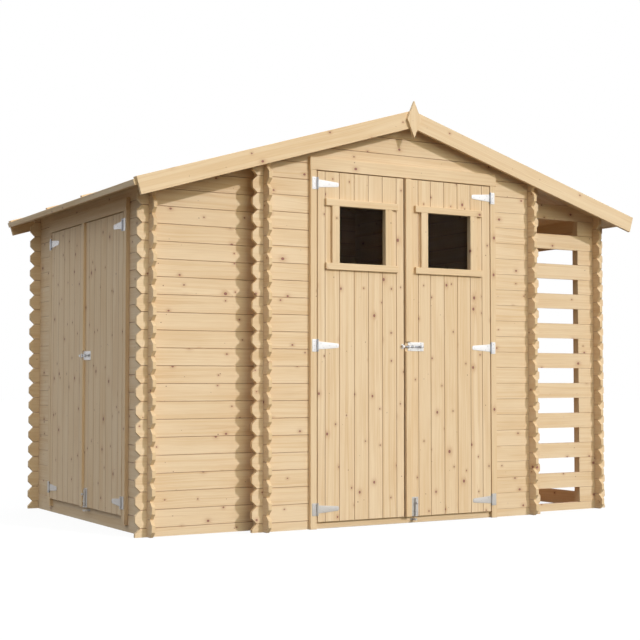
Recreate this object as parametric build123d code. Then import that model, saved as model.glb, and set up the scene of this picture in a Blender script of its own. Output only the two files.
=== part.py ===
from build123d import *
import os
from math import cos, radians, sin, tan

# Garden shed of interlocking log planks: a gabled hut with a closed tool store at its left
# and an open log store at its right, under one roof. Millimetres, +X along the front,
# +Y towards the back, +Z up, with the origin on the ground under the middle of the roof.

# Wall planks, and how their crossing ends are cut
COURSE = 89.0
PLANK = 19.0
END_OVERHANG = 62.0
END_CHAMFER = 27.0
LONG_PHASE_SHARE = 0.5
CROSS_PHASE_SHARE = 0
NOTCH_SHARE = 0.25

# Plan over the outer faces of the planks
HUT_WIDTH = 1750.0
HUT_DEPTH = 1920.0
BAY_WIDTH = 590.0
BAY_SETBACK = 104.0

# Roof: pitch, rise over the front doorway at the hut's sides, reach past the end walls, and its boards
ROOF_PITCH = 16.84
SIDE_RISE = 114.66
EAVE_OVERHANG = 145.0
ROOF_BOARD = 16.0
FASCIA_THICKNESS = 14.0
FASCIA_HEIGHT = 29.0
FASCIA_STAND_UP = 10.0
BARGE_HEIGHT = 92.0
BARGE_THICKNESS = 18.0
BARGE_JOINT = 1.0
RIDGE_BEAM_WIDTH = 45.0
RIDGE_BEAM_DEPTH = 95.0
ROOF_BATTEN_WIDTH = 24.0
ROOF_BATTEN_THICKNESS = 20.0
ROOF_BATTEN_SHARES = (0, 0.37, 0.655, 1)
RIDGE_BATTEN_GAP = 12.0

# Diamond over the joint of the barge boards
FINIAL_THICKNESS = 16.0
FINIAL_HEIGHT = 203.0
FINIAL_WIDTH = 90.0
FINIAL_DROP = 15.0

# Doors: both pairs share their widths and thicknesses
RUNNING_GAP = 5.0
MEETING_GAP = 6.0
LEAF_THICKNESS = 16.0
JAMB_WIDTH = 37.0
JAMB_OUTER_WIDTH = 1214.0
HEADER_RUN_ON = 3.0
HEADER_THICKNESS = 23.0
HEADER_HEIGHT = 67.0
SIDE_LAP = 20.0
SILL_LAP = 8.0
MEETING_OFFSET = 17.0
ASTRAGAL_WIDTH = 34.0
ASTRAGAL_THICKNESS = 15.0
LEDGE_HEIGHT = 70.0
LEDGE_THICKNESS = 16.0
LEDGE_END_GAP = 12.0

# Doorways: plank courses beside the front one, room over the side one, and laps over their edges
FRONT_OPENING_COURSES = 20
END_HEAD_ROOM = 150.0
FRONT_HEAD_LAP = 53.5
SIDE_HEAD_LAP = 44.0
SIDE_JAMB_FOOT = 36.0

# Window in each front leaf
WINDOW_HEIGHT = 302.0
WINDOW_DROP = 331.0
WINDOW_MARGIN = 44.0
GLASS_LAP = 12.0
GLASS_THICKNESS = 4.0
WINDOW_TRIM_THICKNESS = 15.0
WINDOW_STILE = 45.0
WINDOW_RAIL = 36.0
WINDOW_RAIL_RUN_ON = 37.5

# Hinges with a plate on the jamb and a tapered strap on the leaf
HINGE_PLATE_WIDTH = 26.0
HINGE_PLATE_HEIGHT = 66.0
HINGE_METAL = 2.5
KNUCKLE_RADIUS = 5.0
KNUCKLE_PLAY = 0.5
STRAP_LENGTH = 131.0
STRAP_ROOT_HEIGHT = 43.0
STRAP_TIP_HEIGHT = 24.0
STRAP_TIP_CHAMFER = 6.0
HINGE_INSET = 66.0
FRONT_HINGES = 3
SIDE_HINGES = 2

# Sliding bolts: a latch between the leaves and a drop bolt at the foot of the right leaf
FRONT_LATCH_RISE = 1.0
SIDE_LATCH_RISE = 47.0
LATCH_PLATE_WIDTH = 104.0
LATCH_PLATE_HEIGHT = 48.0
LATCH_PLATE_INSET = 18.0
LATCH_CUT_MARGIN = 2.0
DROP_PLATE_WIDTH = 42.0
DROP_PLATE_HEIGHT = 104.0
DROP_BOLT_INSET = 62.0
BOLT_METAL = 2.5
BOLT_RADIUS = 4.5
BOLT_PLAY = 0.6
BOLT_STAND_OFF = 2.0
BOLT_TRAVEL = 26.0
BOLT_TAIL_GAP = 5.0
GUIDE_WIDTH = 9.0
GUIDE_WALL = 3.0
GUIDE_SPACING = 28.0
KNOB_RADIUS = 7.0
KNOB_REACH = 17.0
KNOB_GAP = 2.0
KEEPER_WIDTH = 14.0
KEEPER_INSET = 4.0
SILL_KEEPER_WIDTH = 30.0
SILL_KEEPER_HEIGHT = 10.0
SILL_KEEPER_DROP = 12.0

# Log store: slats with open rows between them, and short stubs that carry the corner
STUB_LENGTH = 138.0
STORE_BATTEN_WIDTH = 40.0
STORE_BATTEN_DEPTH = 28.0

# Flat sides of a round bar, and the one overrun that serves every cut
BAR_SIDES = 10
OVERRUN = 20.0

# Worked out from the sizes above
HUT_SIDE = HUT_WIDTH / 2
HUT_FACE = HUT_DEPTH / 2
END_FACE = HUT_SIDE + BAY_WIDTH
BAY_FACE = HUT_FACE - BAY_SETBACK
ROOF_END = HUT_FACE + END_OVERHANG
DOOR_SIDE = JAMB_OUTER_WIDTH / 2 - JAMB_WIDTH
LEAF_EDGE = DOOR_SIDE - RUNNING_GAP
OPENING_SIDE = LEAF_EDGE - SIDE_LAP
LEAF_FRONT = RUNNING_GAP + LEAF_THICKNESS
HINGE_SIDE = (DOOR_SIDE + LEAF_EDGE) / 2
HINGE_FRONT = LEAF_FRONT + KNUCKLE_RADIUS
BOLT_AXIS = LEAF_FRONT + BOLT_METAL + BOLT_STAND_OFF + BOLT_RADIUS
FRONT_SILL = COURSE * LONG_PHASE_SHARE
SIDE_SILL = COURSE
FRONT_OPENING_TOP = COURSE * (FRONT_OPENING_COURSES + LONG_PHASE_SHARE)
RIDGE_UNDERSIDE = FRONT_OPENING_TOP + SIDE_RISE + HUT_SIDE * tan(radians(ROOF_PITCH))
SLOPE_LENGTH = (END_FACE + EAVE_OVERHANG) / cos(radians(ROOF_PITCH))
END_WALL_TOP = RIDGE_UNDERSIDE - END_FACE * tan(radians(ROOF_PITCH))
END_OPENING_TOP = COURSE * ((END_WALL_TOP - END_HEAD_ROOM) // COURSE)
MEETING = -MEETING_OFFSET
LEFT_LEAF_SPAN = (-LEAF_EDGE, MEETING - MEETING_GAP)
RIGHT_LEAF_SPAN = (MEETING, LEAF_EDGE)
WINDOW_RAIL_WIDTH = LEFT_LEAF_SPAN[1] - LEFT_LEAF_SPAN[0] - 2 * WINDOW_MARGIN
WINDOW_WIDTH = WINDOW_RAIL_WIDTH - 2 * (WINDOW_RAIL_RUN_ON + WINDOW_STILE)


def block(x0, x1, y0, y1, z0, z1):
    """Box between two opposite corners."""
    centre = Pos((x0 + x1) / 2, (y0 + y1) / 2, (z0 + z1) / 2)
    return centre * Box(x1 - x0, y1 - y0, z1 - z0)


def plate_xz(points, y0, y1):
    """Outline drawn in X and Z, made solid from y0 to y1."""
    face = make_face(Polyline(*points, close=True))
    return Pos(0, y1, 0) * extrude(Plane.XZ * face, y1 - y0)


def plate_yz(points, x0, x1):
    """Outline drawn in Y and Z, made solid from x0 to x1."""
    face = make_face(Polyline(*points, close=True))
    return Pos(x0, 0, 0) * extrude(Plane.YZ * face, x1 - x0)


def rod_x(x0, x1, y, z, radius):
    """Round bar along X."""
    return Pos(x0, y, z) * Rot(0, 90, 0) * extrude(RegularPolygon(radius, BAR_SIDES), x1 - x0)


def rod_z(x, y, z0, z1, radius):
    """Round bar along Z."""
    return Pos(x, y, z0) * extrude(RegularPolygon(radius, BAR_SIDES), z1 - z0)


# Roof geometry

def slope_point(along, above):
    """Point on the right slope: distance down from the ridge, height square to the underside."""
    pitch = radians(ROOF_PITCH)
    x = along * cos(pitch) + above * sin(pitch)
    z = RIDGE_UNDERSIDE - along * sin(pitch) + above * cos(pitch)
    return (x, z)


def ridge_point(x, above):
    """Point of the layer that lies above the underside, at a distance x from the ridge line."""
    pitch = radians(ROOF_PITCH)
    return (x, RIDGE_UNDERSIDE - x * tan(pitch) + above / cos(pitch))


def roof_layer(side, start, end, low, high, y0, y1):
    """Layer of one slope that starts at a plumb cut beside the ridge and ends square."""
    lower = [ridge_point(start, low), slope_point(end, low)]
    upper = [slope_point(end, high), ridge_point(start, high)]
    return plate_xz([(side * x, z) for x, z in lower + upper], y0, y1)


def under_roof():
    """All the room below the roof boards."""
    reach = SLOPE_LENGTH
    eave = ridge_point(reach, 0)[1]
    points = [(-reach, -OVERRUN), (reach, -OVERRUN), (reach, eave), (0, RIDGE_UNDERSIDE), (-reach, eave)]
    return plate_xz(points, -HUT_DEPTH, HUT_DEPTH)


# Log plank walls

def joints(phase_share, low, high):
    """Heights of the plank joints from low to past high, with both ends as edges."""
    heights = [low]
    step = 0
    while heights[-1] < high:
        joint = (step + phase_share) * COURSE
        if joint > low:
            heights.append(joint)
        step += 1
    return heights


def saw_edge(end, inward, heights):
    """Edge up a crossing end, where every plank is chamfered above and below."""
    points = [(end, heights[0])]
    if heights[0] > 0:
        points = [(end + inward * END_CHAMFER, heights[0]), (end, heights[0] + END_CHAMFER)]
    for joint in heights[1:-1]:
        points.append((end, joint - END_CHAMFER))
        points.append((end + inward * END_CHAMFER, joint))
        points.append((end, joint + END_CHAMFER))
    points.append((end, heights[-1] - END_CHAMFER))
    points.append((end + inward * END_CHAMFER, heights[-1]))
    return points


def wall_outline(left, right, heights, saw_left, saw_right):
    """Outline of a stack of planks; an end that crosses another wall is cut like a saw."""
    left_edge = [(left, heights[0]), (left, heights[-1])]
    right_edge = [(right, heights[0]), (right, heights[-1])]
    if saw_left:
        left_edge = saw_edge(left, 1, heights)
    if saw_right:
        right_edge = saw_edge(right, -1, heights)
    return left_edge + right_edge[::-1]


def notches(phase_share, x0, x1, y0, y1, low, high):
    """Room for the other wall's planks at a crossing: half of every course from low to high."""
    cuts = []
    half = NOTCH_SHARE * COURSE
    step = 0
    while (step + phase_share) * COURSE - half < high:
        joint = (step + phase_share) * COURSE
        if joint + half > low:
            cuts.append(block(x0, x1, y0, y1, max(joint - half, -OVERRUN), joint + half))
        step += 1
    return cuts


def long_wall(left, right, low, high, y0, saw_left, saw_right, crossings, roof_room):
    """Wall along X, whose planks start with half a course, notched for the walls that cross it."""
    heights = joints(LONG_PHASE_SHARE, low, high)
    wall = plate_xz(wall_outline(left, right, heights, saw_left, saw_right), y0, y0 + PLANK)
    for x0 in crossings:
        wall = wall - notches(LONG_PHASE_SHARE, x0, x0 + PLANK, y0, y0 + PLANK, low, heights[-1])
    return wall & roof_room


def cross_wall(front, back, low, high, x0, saw_front, saw_back, crossings, roof_room):
    """Wall along Y, whose planks start with a full course, notched for the walls that cross it."""
    heights = joints(CROSS_PHASE_SHARE, low, high)
    wall = plate_yz(wall_outline(front, back, heights, saw_front, saw_back), x0, x0 + PLANK)
    for y0 in crossings:
        wall = wall - notches(CROSS_PHASE_SHARE, x0, x0 + PLANK, y0, y0 + PLANK, low, heights[-1])
    return wall & roof_room


def back_of(piece):
    """The same piece at the back of the shed."""
    return mirror(piece, Plane.XZ)


def hut_walls(roof_room):
    """The cabin: split beside and over its doorway, with its own crossing ends."""
    tip = HUT_SIDE + END_OVERHANG
    sides = (-HUT_SIDE, HUT_SIDE - PLANK)
    left = long_wall(-tip, -OPENING_SIDE, 0, FRONT_OPENING_TOP, -HUT_FACE, True, False, sides[:1], roof_room)
    gable = long_wall(-tip, tip, FRONT_OPENING_TOP, RIDGE_UNDERSIDE, -HUT_FACE, True, True, sides, roof_room)
    back = long_wall(-tip, tip, 0, RIDGE_UNDERSIDE, HUT_FACE - PLANK, True, True, sides, roof_room)
    ends = (-HUT_FACE, HUT_FACE - PLANK)
    reach = HUT_FACE + END_OVERHANG
    side = cross_wall(-reach, reach, 0, RIDGE_UNDERSIDE, -HUT_SIDE, True, True, ends, roof_room)
    return {
        "hut_front_wall_left": left,
        "hut_front_wall_right": mirror(left, Plane.YZ),
        "hut_front_gable": gable,
        "hut_back_wall": back,
        "hut_left_wall": side,
        "hut_right_wall": mirror(side, Plane.YZ),
    }


def tool_store_walls(roof_room):
    """The closed bay at the left: front and back butt against the hut, the end wall has a doorway."""
    tip = END_FACE + END_OVERHANG
    front = long_wall(-tip, -HUT_SIDE, 0, RIDGE_UNDERSIDE, -BAY_FACE, True, False, (-END_FACE,), roof_room)
    corners = (-BAY_FACE, BAY_FACE - PLANK)
    reach = BAY_FACE + END_OVERHANG
    head = END_OPENING_TOP
    end = cross_wall(-reach, -OPENING_SIDE, 0, head, -END_FACE, True, False, corners[:1], roof_room)
    top = cross_wall(-reach, reach, head, RIDGE_UNDERSIDE, -END_FACE, True, True, corners, roof_room)
    return {
        "tool_store_front_wall": front,
        "tool_store_back_wall": back_of(front),
        "tool_store_end_front": end,
        "tool_store_end_back": back_of(end),
        "tool_store_end_top": top,
    }


def store_plank(start, tip, low, high, crossing, roof_room):
    """One plank of the log store's front, notched above and below where the end wall crosses it."""
    y0 = -BAY_FACE
    plank = plate_xz(wall_outline(start, tip, [low, high], False, True), y0, y0 + PLANK)
    cuts = notches(LONG_PHASE_SHARE, crossing, crossing + PLANK, y0, y0 + PLANK, low, high)
    return (plank - cuts) & roof_room


def log_store_walls(roof_room):
    """The open bay at the right: long planks and short stubs by turns, and an open end between corners."""
    tip = END_FACE + END_OVERHANG
    crossing = END_FACE - PLANK
    stub = END_FACE - STUB_LENGTH
    rows = joints(LONG_PHASE_SHARE, 0, ridge_point(HUT_SIDE, 0)[1])
    planks = []
    for row, (low, high) in enumerate(zip(rows, rows[1:])):
        start = stub if row % 2 else HUT_SIDE
        if high < ridge_point(start, 0)[1]:
            planks.append(store_plank(start, tip, low, high, crossing, roof_room))
    reach = BAY_FACE + END_OVERHANG
    corners = (-BAY_FACE, BAY_FACE - PLANK)
    inner = STUB_LENGTH - BAY_FACE
    head = END_OPENING_TOP
    corner = cross_wall(-reach, inner, COURSE, head, crossing, True, False, corners[:1], roof_room)
    top = cross_wall(-reach, reach, head, RIDGE_UNDERSIDE, crossing, True, True, corners, roof_room)
    behind = PLANK - BAY_FACE
    battens = []
    for x0 in (HUT_SIDE, stub):
        post = block(x0, x0 + STORE_BATTEN_WIDTH, behind, behind + STORE_BATTEN_DEPTH, 0, RIDGE_UNDERSIDE)
        battens += [post & roof_room, back_of(post & roof_room)]
    return {
        "log_store_front_slats": Compound(children=planks),
        "log_store_back_slats": Compound(children=[back_of(plank) for plank in planks]),
        "log_store_end_corners": Compound(children=[corner, back_of(corner)]),
        "log_store_end_top": top,
        "log_store_battens": Compound(children=battens),
    }


def sill_planks(roof_room):
    """The lowest planks that run on under the doorways and the open end."""
    front = block(-OPENING_SIDE, OPENING_SIDE, -HUT_FACE, PLANK - HUT_FACE, 0, FRONT_SILL)
    side = block(-END_FACE, PLANK - END_FACE, -OPENING_SIDE, OPENING_SIDE, 0, SIDE_SILL)
    reach = BAY_FACE + END_OVERHANG
    corners = (-BAY_FACE, BAY_FACE - PLANK)
    store = cross_wall(-reach, reach, 0, COURSE, END_FACE - PLANK, True, True, corners, roof_room)
    return {"sill_planks": Compound(children=[front, side, store])}


# Roof pieces

def roof():
    """Boards, ridge beam, barge boards, eave fascias, battens and the two diamonds."""
    board_end = SLOPE_LENGTH - FASCIA_THICKNESS
    batten_top = ROOF_BOARD + ROOF_BATTEN_THICKNESS
    fascia_top = ROOF_BOARD + FASCIA_STAND_UP
    fascia_foot = fascia_top - FASCIA_HEIGHT
    fascias = []
    barges = []
    battens = []
    for side in (-1, 1):
        square = [slope_point(along, above) for along, above in (
            (board_end, fascia_foot), (SLOPE_LENGTH, fascia_foot),
            (SLOPE_LENGTH, fascia_top), (board_end, fascia_top))]
        fascias.append(plate_xz([(side * x, z) for x, z in square], -ROOF_END, ROOF_END))
        barge = roof_layer(side, BARGE_JOINT / 2, board_end, batten_top - BARGE_HEIGHT, batten_top,
                           -ROOF_END - BARGE_THICKNESS, -ROOF_END)
        barges += [barge, back_of(barge)]
        for share in ROOF_BATTEN_SHARES:
            y0 = -ROOF_END + share * (2 * ROOF_END - ROOF_BATTEN_WIDTH)
            battens.append(roof_layer(side, RIDGE_BATTEN_GAP, board_end, ROOF_BOARD, batten_top,
                                      y0, y0 + ROOF_BATTEN_WIDTH))
    half = RIDGE_BEAM_WIDTH / 2
    foot = RIDGE_UNDERSIDE - RIDGE_BEAM_DEPTH
    shoulder = ridge_point(half, 0)[1]
    section = [(-half, foot), (half, foot), (half, shoulder), (0, RIDGE_UNDERSIDE), (-half, shoulder)]
    beam = plate_xz(section, PLANK - HUT_FACE, HUT_FACE - PLANK)
    wing = FINIAL_WIDTH / 2
    middle = RIDGE_UNDERSIDE - FINIAL_DROP
    point = FINIAL_HEIGHT / 2
    diamond = [(0, middle - point), (wing, middle), (0, middle + point), (-wing, middle)]
    front = -ROOF_END - BARGE_THICKNESS
    finial = plate_xz(diamond, front - FINIAL_THICKNESS, front)
    return {
        "roof_left": roof_layer(-1, 0, board_end, 0, ROOF_BOARD, -ROOF_END, ROOF_END),
        "roof_right": roof_layer(1, 0, board_end, 0, ROOF_BOARD, -ROOF_END, ROOF_END),
        "ridge_beam": beam,
        "barge_boards": Compound(children=barges),
        "eave_fascias": Compound(children=fascias),
        "roof_battens": Compound(children=battens),
        "finials": Compound(children=[finial, back_of(finial)]),
    }


# Door sets, drawn at a wall whose outer face is the plane y = 0 and which looks towards -Y

def hinge_heights(low, high, count):
    """Evenly spaced hinges, the outer two set in from the ends of the leaf."""
    first = low + HINGE_INSET
    step = (high - HINGE_INSET - first) / (count - 1)
    return [first + place * step for place in range(count)]


def strap_hinge(side, height):
    """Tapered strap with its knuckle, for the leaf hung at that side."""
    tip = HINGE_SIDE - STRAP_LENGTH
    root_half = STRAP_ROOT_HEIGHT / 2
    tip_half = STRAP_TIP_HEIGHT / 2
    outline = [(HINGE_SIDE, -root_half), (HINGE_SIDE, root_half), (tip, tip_half), (tip, -tip_half)]
    points = [(side * x, height + z) for x, z in outline]
    strap = plate_xz(points, -LEAF_FRONT - HINGE_METAL, -LEAF_FRONT)
    corners = strap.edges().filter_by(Axis.Y).sort_by(Axis.X)
    tip_edges = corners[-2:] if side < 0 else corners[:2]
    strap = chamfer(tip_edges, STRAP_TIP_CHAMFER)
    half = HINGE_PLATE_HEIGHT / 2
    return strap + rod_z(side * HINGE_SIDE, -HINGE_FRONT, height - half, height + half, KNUCKLE_RADIUS)


def hinge_plate(side, height):
    """Plate on the jamb, stopped just short of the knuckle."""
    near = HINGE_SIDE + KNUCKLE_RADIUS + KNUCKLE_PLAY
    xs = sorted((side * near, side * (near + HINGE_PLATE_WIDTH)))
    half = HINGE_PLATE_HEIGHT / 2
    return block(xs[0], xs[1], -LEAF_FRONT - HINGE_METAL, -LEAF_FRONT, height - half, height + half)


def leaf(span, low, high, sill_top, opening_top, window_x):
    """Boarded leaf with its ledges behind, and a hole where it has a window."""
    x0, x1 = span
    panel = block(x0, x1, -LEAF_FRONT, -RUNNING_GAP, low, high)
    ledge_x0 = max(x0, -OPENING_SIDE) + LEDGE_END_GAP
    ledge_x1 = min(x1, OPENING_SIDE) - LEDGE_END_GAP
    clear_low = sill_top + LEDGE_END_GAP + LEDGE_HEIGHT
    clear_high = opening_top - LEDGE_END_GAP - LEDGE_HEIGHT
    for z in (clear_low, (clear_low + clear_high) / 2, clear_high):
        panel = panel + block(ledge_x0, ledge_x1, -RUNNING_GAP, LEDGE_THICKNESS - RUNNING_GAP,
                              z - LEDGE_HEIGHT / 2, z + LEDGE_HEIGHT / 2)
    if window_x is not None:
        half_width = WINDOW_WIDTH / 2
        half_height = WINDOW_HEIGHT / 2
        middle = high - WINDOW_DROP
        panel = panel - block(window_x - half_width, window_x + half_width, -LEAF_FRONT, LEDGE_THICKNESS,
                              middle - half_height, middle + half_height)
    return panel


def window_trim(x, middle):
    """Frame of four boards round the hole; the rails run on past the stiles."""
    half_width = WINDOW_WIDTH / 2
    half_height = WINDOW_HEIGHT / 2
    y0 = -LEAF_FRONT - WINDOW_TRIM_THICKNESS
    low = middle - half_height
    high = middle + half_height
    rail = WINDOW_RAIL_WIDTH / 2
    frame = block(x - rail, x + rail, y0, -LEAF_FRONT, low - WINDOW_RAIL, low)
    frame = frame + block(x - rail, x + rail, y0, -LEAF_FRONT, high, high + WINDOW_RAIL)
    for side in (-1, 1):
        xs = sorted((x + side * half_width, x + side * (half_width + WINDOW_STILE)))
        frame = frame + block(xs[0], xs[1], y0, -LEAF_FRONT, low, high)
    return frame


def glass(x, middle):
    """Pane against the back of the leaf, lapped over the edges of its hole."""
    half_width = WINDOW_WIDTH / 2 + GLASS_LAP
    half_height = WINDOW_HEIGHT / 2 + GLASS_LAP
    return block(x - half_width, x + half_width, -RUNNING_GAP, GLASS_THICKNESS - RUNNING_GAP,
                 middle - half_height, middle + half_height)


def saddle_x(x0, x1, z, back):
    """Bent saddle, down to the plane at back, that a bolt along X slides through."""
    bore = BOLT_RADIUS + BOLT_PLAY
    outer = bore + GUIDE_WALL
    arch = block(x0, x1, -BOLT_AXIS - outer, -back, z - outer, z + outer)
    return arch - block(x0 - OVERRUN, x1 + OVERRUN, -BOLT_AXIS - bore, -BOLT_AXIS + bore, z - bore, z + bore)


def saddle_z(x, z0, z1, half_width, back):
    """Bent saddle, down to the plane at back, that a bolt along Z slides through."""
    bore = BOLT_RADIUS + BOLT_PLAY
    arch = block(x - half_width, x + half_width, -BOLT_AXIS - bore - GUIDE_WALL, -back, z0, z1)
    return arch - block(x - bore, x + bore, -BOLT_AXIS - bore, -BOLT_AXIS + bore, z0 - OVERRUN, z1 + OVERRUN)


def knob(x, z):
    """Round grip that stands out from a bolt's middle."""
    grip = extrude(RegularPolygon(KNOB_RADIUS, BAR_SIDES), KNOB_REACH)
    return Pos(x, -BOLT_AXIS, z) * Rot(90, 0, 0) * grip


def latch(z):
    """Latch across the leaves, drawn back: plate with guides, its bolt, and the keeper opposite."""
    x0 = MEETING + LATCH_PLATE_INSET
    x1 = x0 + LATCH_PLATE_WIDTH
    second = x0 + GUIDE_SPACING
    half = LATCH_PLATE_HEIGHT / 2
    face = LEAF_FRONT + BOLT_METAL
    plate = block(x0, x1, -face, -LEAF_FRONT, z - half, z + half)
    plate = plate + saddle_x(x0, x0 + GUIDE_WIDTH, z, face) + saddle_x(second, second + GUIDE_WIDTH, z, face)
    grip = second + GUIDE_WIDTH + KNOB_GAP + BOLT_TRAVEL + KNOB_RADIUS
    bolt = rod_x(MEETING, x1 - BOLT_TAIL_GAP, -BOLT_AXIS, z, BOLT_RADIUS) + knob(grip, z)
    edge = MEETING - MEETING_GAP - KEEPER_INSET
    return plate, bolt, saddle_x(edge - KEEPER_WIDTH, edge, z, LEAF_FRONT)


def drop_bolt(low):
    """Bolt at the foot of the right leaf, drawn up: plate with guides, its bolt, and the sill's keeper."""
    x = MEETING + DROP_BOLT_INSET
    half = DROP_PLATE_WIDTH / 2
    top = low + DROP_PLATE_HEIGHT
    second = low + GUIDE_SPACING
    face = LEAF_FRONT + BOLT_METAL
    arm = BOLT_RADIUS + BOLT_PLAY + GUIDE_WALL
    plate = block(x - half, x + half, -face, -LEAF_FRONT, low, top)
    plate = plate + saddle_z(x, low, low + GUIDE_WIDTH, arm, face)
    plate = plate + saddle_z(x, second, second + GUIDE_WIDTH, arm, face)
    grip = second + GUIDE_WIDTH + KNOB_GAP + BOLT_TRAVEL + KNOB_RADIUS
    bolt = rod_z(x, -BOLT_AXIS, low, top - BOLT_TAIL_GAP, BOLT_RADIUS) + knob(x, grip)
    keeper_top = low - SILL_KEEPER_DROP
    keeper = saddle_z(x, keeper_top - SILL_KEEPER_HEIGHT, keeper_top, SILL_KEEPER_WIDTH / 2, 0)
    return plate, bolt, keeper


def astragal(low, high, latch_height):
    """Cover strip on the right leaf's edge, cut away for the latch."""
    half = LATCH_PLATE_HEIGHT / 2 + LATCH_CUT_MARGIN
    y0 = -LEAF_FRONT - ASTRAGAL_THICKNESS
    edge = MEETING + ASTRAGAL_WIDTH
    lower = block(MEETING, edge, y0, -LEAF_FRONT, low, latch_height - half)
    upper = block(MEETING, edge, y0, -LEAF_FRONT, latch_height + half, high)
    return Compound(children=[lower, upper])


def door_set(sill_top, opening_top, head_lap, jamb_foot, hinges, latch_rise, windows):
    """One pair of leaves with frame and ironmongery, as a dictionary of solids."""
    header_foot = opening_top + head_lap
    low = sill_top - SILL_LAP
    high = header_foot - RUNNING_GAP
    window_middle = high - WINDOW_DROP
    left_window = sum(LEFT_LEAF_SPAN) / 2 if windows else None
    right_window = sum(RIGHT_LEAF_SPAN) / 2 if windows else None
    jamb_outer = JAMB_OUTER_WIDTH / 2
    header_end = jamb_outer + HEADER_RUN_ON
    heights = hinge_heights(low, high, hinges)
    latch_height = (low + high) / 2 + latch_rise
    plate, bolt, keeper = latch(latch_height)
    drop_plate, drop, drop_keeper = drop_bolt(low)
    pieces = {
        "jambs": Compound(children=[
            block(-jamb_outer, -DOOR_SIDE, -LEAF_FRONT, 0, jamb_foot, header_foot),
            block(DOOR_SIDE, jamb_outer, -LEAF_FRONT, 0, jamb_foot, header_foot)]),
        "header": block(-header_end, header_end, -HEADER_THICKNESS, 0,
                        header_foot, header_foot + HEADER_HEIGHT),
        "frame_ironwork": Compound(children=[
            hinge_plate(side, z) for side in (-1, 1) for z in heights] + [drop_keeper]),
        "left_leaf": leaf(LEFT_LEAF_SPAN, low, high, sill_top, opening_top, left_window),
        "left_ironwork": Compound(children=[strap_hinge(-1, z) for z in heights] + [keeper]),
        "right_leaf": leaf(RIGHT_LEAF_SPAN, low, high, sill_top, opening_top, right_window),
        "right_ironwork": Compound(children=[strap_hinge(1, z) for z in heights] + [plate, drop_plate]),
        "astragal": astragal(low, high, latch_height),
        "latch_bolt": bolt,
        "drop_bolt": drop,
    }
    if windows:
        pieces["left_window_trim"] = window_trim(left_window, window_middle)
        pieces["left_glass"] = glass(left_window, window_middle)
        pieces["right_window_trim"] = window_trim(right_window, window_middle)
        pieces["right_glass"] = glass(right_window, window_middle)
    return pieces


def placed(pieces, prefix, place):
    """Door set put at its wall, with its names under the wall's prefix."""
    return {f"{prefix}_{name}": place * piece for name, piece in pieces.items()}


def doors():
    """Both pairs: the hut's front doors, and the tool store's doors in the end wall."""
    front = door_set(FRONT_SILL, FRONT_OPENING_TOP, FRONT_HEAD_LAP, 0, FRONT_HINGES, FRONT_LATCH_RISE, True)
    side = door_set(SIDE_SILL, END_OPENING_TOP, SIDE_HEAD_LAP, SIDE_JAMB_FOOT, SIDE_HINGES,
                    SIDE_LATCH_RISE, False)
    nodes = placed(front, "front", Pos(0, -HUT_FACE, 0))
    nodes.update(placed(side, "side", Pos(-END_FACE, 0, 0) * Rot(0, 0, -90)))
    return nodes


def main():
    roof_room = under_roof()
    nodes = {}
    nodes.update(hut_walls(roof_room))
    nodes.update(tool_store_walls(roof_room))
    nodes.update(log_store_walls(roof_room))
    nodes.update(sill_planks(roof_room))
    nodes.update(roof())
    nodes.update(doors())
    os.makedirs("parts", exist_ok=True)
    for name, piece in nodes.items():
        export_step(piece, f"parts/{name}.step")


main()
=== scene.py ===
import math
import random
from collections import namedtuple

import bmesh
import bpy
from mathutils import Matrix, Vector


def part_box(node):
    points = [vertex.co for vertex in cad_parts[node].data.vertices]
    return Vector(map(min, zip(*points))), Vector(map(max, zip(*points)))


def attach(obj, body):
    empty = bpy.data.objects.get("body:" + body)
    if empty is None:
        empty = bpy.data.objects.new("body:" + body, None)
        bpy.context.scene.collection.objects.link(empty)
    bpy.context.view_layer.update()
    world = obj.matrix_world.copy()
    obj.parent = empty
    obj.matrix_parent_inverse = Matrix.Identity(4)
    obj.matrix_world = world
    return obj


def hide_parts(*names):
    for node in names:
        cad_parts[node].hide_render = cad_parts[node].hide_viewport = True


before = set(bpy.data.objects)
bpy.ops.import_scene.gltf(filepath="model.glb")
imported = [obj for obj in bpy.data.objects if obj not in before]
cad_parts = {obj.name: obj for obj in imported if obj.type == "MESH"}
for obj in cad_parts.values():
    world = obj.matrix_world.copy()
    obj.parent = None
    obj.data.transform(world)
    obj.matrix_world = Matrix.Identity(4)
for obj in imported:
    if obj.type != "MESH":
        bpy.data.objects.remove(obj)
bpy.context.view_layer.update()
scene = bpy.context.scene

# Log planks, and how their crossing ends are cut
COURSE = 0.089
PLANK = 0.019
OVERHANG = 0.062
END_CHAMFER = 0.027
NOTCH = COURSE / 4
NOTCH_PLAY = 0.0003
JOINT_PLAY = 0.0003

# Plan over the outer faces of the planks, and heights of the openings
HUT_SIDE = 0.875
HUT_FACE = 0.960
END_FACE = 1.465
BAY_FACE = 0.856
OPENING_SIDE = 0.545
FRONT_HEAD = 20.5 * COURSE
END_HEAD = 18 * COURSE
STUB = 0.138

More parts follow.
